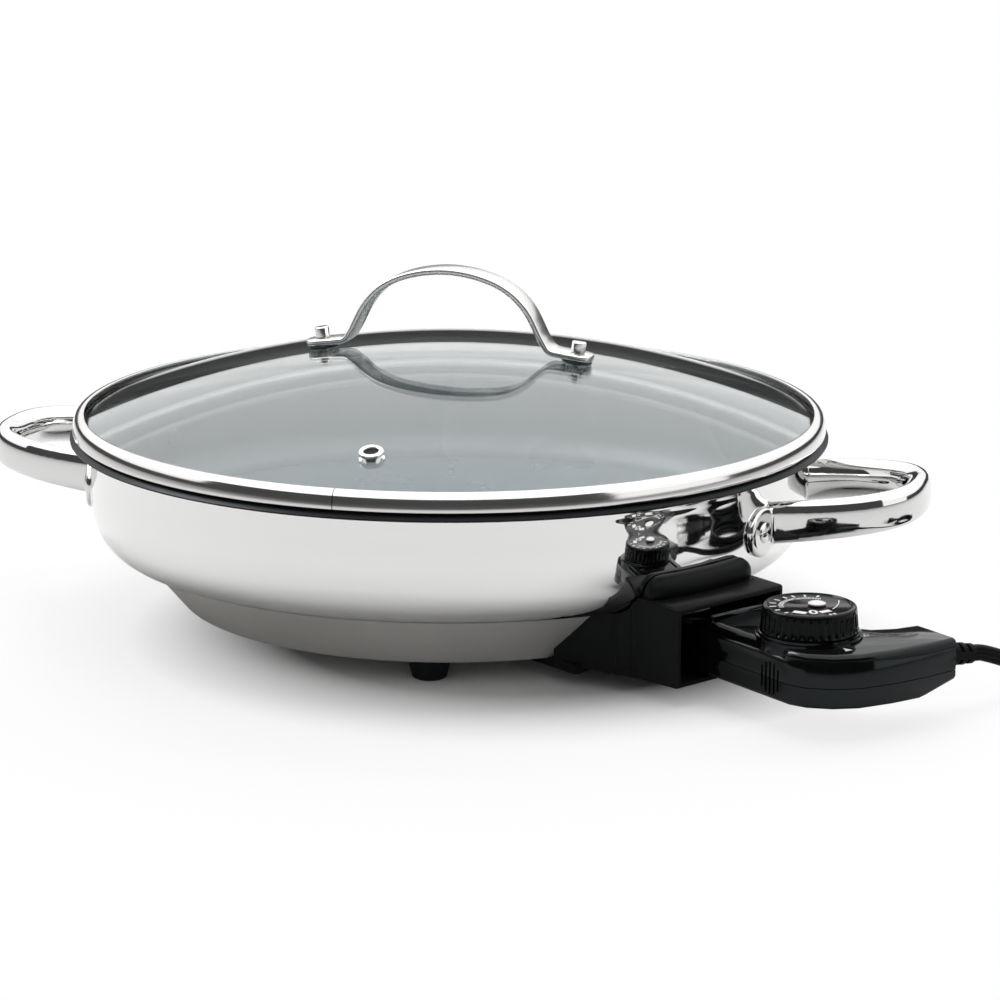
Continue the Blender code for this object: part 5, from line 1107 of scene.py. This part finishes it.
# angles round the face, in degrees, and distances from its centre
scale = {
    "lift": 0.00005,
    "tickIn": 0.0131,
    "tickOut": 0.0156,
    "tickWidth": 0.0009,
    "numbers": {
        -127: "150", -147: "200", -166: "250", 175: "300", 160: "350", 141: "400", 121: "450",
    },
    "numberReach": 0.0109,
    "numberSize": 0.0026,
    "plainTicks": [-106, -86, -12, -4],
    "zero": (-38, 0.0086, 0.0074),
    "bars": [(-68, 0.0104, 0.0052, 0.0030), (-8, 0.0094, 0.0048, 0.0026)],
    "wedge": [(2.0, 14.2), (4.6, 11.2), (6.6, 8.2), (8.0, 5.6), (8.9, 3.2)],
    "wedgeWidth": 0.0004,
}


def faceSpot(angle, reach):
    # stands on the dial's face, with its own up pointing outward
    turn = Matrix.Rotation(math.radians(angle - 90), 4, "Z")
    top = dial["height"] - dial["faceDepth"] + scale["lift"]
    return atDial @ turn @ Matrix.Translation((0, reach, top))


def inkBar(bm, place, wide, tall):
    size = Matrix.Diagonal((wide, tall, scale["lift"] * 1.6, 1))
    bmesh.ops.create_cube(bm, size=1, matrix=place @ size)


def inkNumber(bm, place, words, size):
    curve = bpy.data.curves.new("dialNumber", "FONT")
    curve.body = words
    curve.size = size
    curve.align_x = "CENTER"
    curve.align_y = "CENTER"
    curve.resolution_u = 3
    curve.offset = size * 0.02
    curve.extrude = scale["lift"] * 0.8
    holder = show(bpy.data.objects.new("dialNumber", curve))
    view = bpy.context.evaluated_depsgraph_get()
    mesh = bpy.data.meshes.new_from_object(holder.evaluated_get(view))
    bpy.data.objects.remove(holder)
    bpy.data.curves.remove(curve)
    mesh.transform(place)
    bm.from_mesh(mesh)
    bpy.data.meshes.remove(mesh)


def addInk():
    bm = bmesh.new()
    middle = (scale["tickIn"] + scale["tickOut"]) / 2
    for angle in list(scale["numbers"]) + scale["plainTicks"]:
        inkBar(bm, faceSpot(angle, middle), scale["tickWidth"], scale["tickOut"] - scale["tickIn"])
    for angle, words in scale["numbers"].items():
        inkNumber(bm, faceSpot(angle, scale["numberReach"]), words, scale["numberSize"])
    angle, reach, size = scale["zero"]
    inkNumber(bm, faceSpot(angle, reach), "0", size)
    for angle, reach, wide, tall in scale["bars"]:
        inkBar(bm, faceSpot(angle, reach), wide, tall)
    for first, second in zip(scale["wedge"], scale["wedge"][1:]):
        start, end = (Vector(point) / 1000 for point in (first, second))
        centre, run = (start + end) / 2, end - start
        angle = math.degrees(math.atan2(run.y, run.x))
        height = dial["height"] - dial["faceDepth"] + scale["lift"]
        turn = Matrix.Rotation(math.radians(angle), 4, "Z")
        place = atDial @ Matrix.Translation((*centre, height)) @ turn
        inkBar(bm, place, run.length * 1.04, scale["wedgeWidth"])
    addPiece("dialScale", bm, "dial_knob", "ink", (), 30.0)


# the mark on the deck that the scale is read against
pointer = {
    "along": 0.0235,
    "across": -0.0040,
    "height": 0.03368,
    "long": 0.0026,
    "wide": 0.0018,
    "thickness": 0.00008,
}


def addPointer():
    bm = bmesh.new()
    spot = (dial["along"] + pointer["along"], pointer["across"], pointer["height"])
    place = atGuard @ Matrix.Translation(spot)
    turn = Matrix.Rotation(math.atan2(pointer["across"], pointer["along"]), 4, "Z")
    shape = Matrix.Diagonal((pointer["long"], pointer["wide"], 1, 1))
    bmesh.ops.create_cone(
        bm, cap_ends=True, segments=3, radius1=1, radius2=1, depth=pointer["thickness"],
        matrix=place @ turn @ shape @ Matrix.Rotation(math.pi / 2, 4, "Z"))
    addPiece("deckPointer", bm, "probe", "ink", (), 30.0)


addInk()
addPointer()
print("dial done")


# strain relief: a tapered boot with cross slots

relief = {
    "inside": 0.0060,
    "outside": 0.0176,
    "root": 0.0056,
    "tip": 0.0040,
    "ribs": 4,
    "groove": 0.0011,
    "webHalf": 0.0015,
    "plate": (0.0054, 0.0070, 0.0011),
    "plateCorner": 0.0030,
    "plateLift": 0.0006,
}


def addRelief():
    outline = [(0, -relief["inside"]), (relief["root"], -relief["inside"]), (relief["root"], 0)]
    pitch = relief["outside"] / relief["ribs"]
    for index in range(relief["ribs"]):
        start = pitch * index
        reach = relief["root"] + (relief["tip"] - relief["root"]) * (index + 1) / relief["ribs"]
        low = reach - relief["groove"]
        profile = ((low, 0.10), (low, 0.40), (reach, 0.46), (reach, 0.94), (reach - 0.0002, 1))
        outline += [(radius, start + pitch * share) for radius, share in profile]
    outline.append((0, relief["outside"]))
    heading = cordHeading()
    root = panAxis + Vector(cord["tip"]) - heading * relief["outside"]
    bm = spin(outline, 48, Matrix.Identity(4))
    # the sides stay solid between the slots
    ends = bmesh.ops.create_cube(bm, size=1)["verts"]
    for vert in ends:
        last = vert.co.z > 0
        reach = relief["tip"] - 0.0001 if last else relief["root"] - 0.0001
        vert.co = Vector((
            math.copysign(reach, vert.co.x), math.copysign(relief["webHalf"], vert.co.y),
            relief["outside"] - 0.0002 if last else 0.0))
    bmesh.ops.transform(bm, matrix=facing(root, heading), verts=bm.verts)
    addPiece("slottedRelief", bm, "probe", "rubber", ["strain_relief"])
    wide, tall, thick = relief["plate"]
    bm = bmesh.new()
    bmesh.ops.create_cube(bm, size=2)
    bmesh.ops.scale(bm, vec=(wide, tall, thick / 2), verts=bm.verts)
    upright = [edge for edge in bm.edges if abs(edge.verts[0].co.z - edge.verts[1].co.z) > thick * 0.9]
    bmesh.ops.bevel(
        bm, geom=upright, offset=relief["plateCorner"], offset_type="OFFSET", segments=6,
        profile=0.5, affect="EDGES", material=-1)
    place = facing(root + heading * relief["plateLift"], heading)
    bmesh.ops.transform(bm, matrix=place, verts=bm.verts)
    plate = addPiece("reliefPlate", bm, "probe", "probe", ["strain_relief"])
    softened(plate, 0.0003)


addRelief()
print("strain relief done")


# feet, tie and plug with moulded edges

for index in range(1, 5):
    moulded(f"foot_{index}", "skillet", "foot", 0.0005)
moulded("cord_tie", "probe", "strip", 0.0002, 2)
moulded("plug", "probe", "rubber", 0.0006)
for side in ("left", "right"):
    moulded(f"plug_blade_{side}", "probe", "plated", 0.0002, 2)
print("feet, tie and plug done")


# everything else keeps its CAD solid and gets its finish

kept = {
    "aluminium": ["heat_plate"],
    "sheath": ["heating_element"],
    "ceramic": ["terminal_block"],
    "brass": ["contact_sleeve_left", "contact_sleeve_right", "contact_arm"],
    "lens": ["dial_lens"],
    "plated": [
        "sensor_well", "terminal_pin_left", "terminal_pin_right", "sensing_rod",
        "thermostat_frame", "dial_shaft", "housing_screw_1", "housing_screw_2", "guard_screw_1",
        "guard_screw_2", "foot_screw_1", "foot_screw_2", "foot_screw_3", "foot_screw_4",
    ],
}
for finish, names in kept.items():
    for node in names:
        mesh = nodes[node].data
        mesh.materials.clear()
        mesh.materials.append(finishes[finish])
print("finished CAD nodes:", sum(len(names) for names in kept.values()))


runLength(leadLine)
runLength(coilLine)


# white floor, dark walls and a pale sky seen in gloss and through the glass, and soft lamps

studio = {
    "floorColour": (0.94, 0.94, 0.94),
    "shadeCentre": (0.02, -0.02, 0.0),
    "shade": (0.10, 0.165),  # where the shadow gives way to plain white, from that centre
    "farShade": (0.20, 0.32),
    "shadeShare": 0.8,
    "floorDim": (0.12, 0.86),  # how much darker the gloss sees it, near and far
    "dimming": (0.55, 2.4),
    "surroundLight": 0.34,
    "wallColour": (0.10, 0.10, 0.10),
    "wallRadius": 3.0,
    "backWall": (15.0, 210.0, 0.55),  # from and to an azimuth, and its height
    "frontWall": (-150.0, -25.0, 2.9),
    "skyRadius": 3.5,
    "skyRise": (0.42, 0.76),
    "skyLevel": (0.39, 0.66),
    "skyBands": [(0.318, 0.360, 0.16), (0.425, 0.450, 0.13)],
    "skyLight": 3.0,
    "glowDirection": (-0.62, 0.10, 0.78),
    "glowDistance": 2.3,
    "glowSize": (0.60, 0.50),
    "glowLight": 11.0,
}
softboxes = {
    "backLamp": {"spot": (0.0, 1.56, 1.56), "size": (3.0, 1.3), "power": 34.0},
    "overheadLamp": {"spot": (-0.1, 0.2, 1.9), "size": (1.25, 1.25), "power": 18.0},
}


def addFloor():
    bm = bmesh.new()
    bmesh.ops.create_grid(bm, x_segments=1, y_segments=1, size=14)
    finish = Finish("studioFloor", studio["floorColour"], 0.9, 0.0, {"Specular IOR Level": 0.0})
    ray = finish.node("ShaderNodeLightPath")
    glossy = ray.other(3)
    seen = finish.node("ShaderNodeMath", {"operation": "MAXIMUM"}, {0: ray, 1: ray.other(6)})
    radius = finish.radial(studio["shadeCentre"])[0]
    share = studio["shadeShare"]
    near = finish.remap(radius, *studio["shade"], 0.0, share)
    white = near + finish.remap(radius, *studio["farShade"], 0.0, 1 - share)
    dim = finish.remap(radius, *studio["dimming"], *studio["floorDim"])
    glow = finish.node("ShaderNodeEmission", None, {"Color": (1, 1, 1, 1), "Strength": 1.0})
    dark = finish.node("ShaderNodeEmission", None, {"Color": (0, 0, 0, 1), "Strength": 0.0})
    lit = Wire(finish, finish.shader.outputs[0])
    mixed = finish.node("ShaderNodeMixShader", None, {0: seen * white, 1: lit, 2: glow})
    mixed = finish.node("ShaderNodeMixShader", None, {0: glossy * dim, 1: mixed, 2: dark})
    finish.surface(mixed)
    addStage("studioFloor", bm, finish.material)


def addStage(name, bm, material):
    mesh = bpy.data.meshes.new(name)
    bm.to_mesh(mesh)
    bm.free()
    mesh.materials.append(material)
    thing = show(bpy.data.objects.new(name, mesh))
    return thing


def unseen(thing):
    # shows in gloss and through the glass only
    thing.visible_camera = False
    thing.visible_diffuse = False
    thing.visible_shadow = False


def addSky():
    finish = Finish("paleSky", (0, 0, 0), 1.0)
    parts = finish.node("ShaderNodeSeparateXYZ", None, {0: finish.place()})
    rise = parts.other(2) / studio["skyRadius"]
    level = finish.remap(rise, *studio["skyRise"], *studio["skyLevel"])
    for low, high, extra in studio["skyBands"]:
        edge = (high - low) * 0.25
        fadeIn = finish.remap(rise, low, low + edge, 0.0, extra)
        level = level + fadeIn - finish.remap(rise, high - edge, high, 0.0, extra)
    colour = finish.node("ShaderNodeCombineColor", None, {0: level, 1: level, 2: level})
    glow = finish.node("ShaderNodeEmission", None, {"Color": colour, "Strength": studio["skyLight"]})
    finish.surface(glow)
    bm = bmesh.new()
    bmesh.ops.create_uvsphere(bm, u_segments=64, v_segments=32, radius=studio["skyRadius"])
    unseen(addStage("paleSky", bm, finish.material))


def addWalls():
    finish = Finish("darkWall", studio["wallColour"], 0.9, 0.0, {"Specular IOR Level": 0.0})
    for name in ("backWall", "frontWall"):
        start, end, height = studio[name]
        bm = bmesh.new()
        foot = compass(start) * studio["wallRadius"]
        post = [bm.verts.new(foot), bm.verts.new(foot + Vector((0, 0, height)))]
        post.append(bm.edges.new(post))
        bmesh.ops.spin(
            bm, geom=post, cent=(0, 0, 0), axis=(0, 0, 1), angle=math.radians(end - start), steps=48)
        unseen(addStage(name, bm, finish.material))


def addGlow():
    # a bright panel overhead that draws the crisp lines on the plastic's edges
    finish = Finish("brightPanel", (0, 0, 0), 1.0)
    inputs = {"Color": (1, 1, 1, 1), "Strength": studio["glowLight"]}
    glow = finish.node("ShaderNodeEmission", None, inputs)
    finish.surface(glow)
    way = Vector(studio["glowDirection"]).normalized()
    bm = bmesh.new()
    bmesh.ops.create_grid(bm, x_segments=1, y_segments=1, size=1)
    bmesh.ops.scale(bm, vec=(*studio["glowSize"], 1), verts=bm.verts)
    bmesh.ops.transform(bm, matrix=facing(way * studio["glowDistance"], way), verts=bm.verts)
    panel = addStage("brightPanel", bm, finish.material)
    unseen(panel)
    panel.visible_transmission = False


def addSurround():
    world = bpy.data.worlds.new("paleStudio")
    bpy.context.scene.world = world
    world.use_nodes = True
    tree = world.node_tree
    plain = tree.nodes["Background"]
    seen = tree.nodes.new("ShaderNodeBackground")
    for shader, strength in ((plain, studio["surroundLight"]), (seen, 1.0)):
        shader.inputs["Color"].default_value = (1, 1, 1, 1)
        shader.inputs["Strength"].default_value = strength
    ray = tree.nodes.new("ShaderNodeLightPath")
    first = tree.nodes.new("ShaderNodeMath")
    second = tree.nodes.new("ShaderNodeMath")
    first.operation = "MAXIMUM"
    second.operation = "MAXIMUM"
    mix = tree.nodes.new("ShaderNodeMixShader")
    links = (
        (ray.outputs["Is Camera Ray"], first.inputs[0]),
        (ray.outputs["Is Glossy Ray"], first.inputs[1]),
        (first.outputs[0], second.inputs[0]),
        (ray.outputs["Is Transmission Ray"], second.inputs[1]),
        (second.outputs[0], mix.inputs[0]),
        (plain.outputs[0], mix.inputs[1]),
        (seen.outputs[0], mix.inputs[2]),
        (mix.outputs[0], tree.nodes["World Output"].inputs["Surface"]),
    )
    for source, target in links:
        tree.links.new(source, target)


def addLamps():
    for name, box in softboxes.items():
        data = bpy.data.lights.new(name, "AREA")
        data.shape = "RECTANGLE"
        data.size, data.size_y = box["size"]
        data.energy = box["power"]
        lamp = show(bpy.data.objects.new(name, data))
        lamp.location = box["spot"]
        lamp.rotation_mode = "QUATERNION"
        aim = Vector((0, 0, 0.05)) - Vector(box["spot"])
        lamp.rotation_quaternion = aim.to_track_quat("-Z", "Y")
        lamp.visible_glossy = False
        lamp.visible_transmission = False


addFloor()
addSky()
addWalls()
addGlow()
addSurround()
addLamps()
bpy.context.scene.view_settings.view_transform = "Standard"
print("studio done")
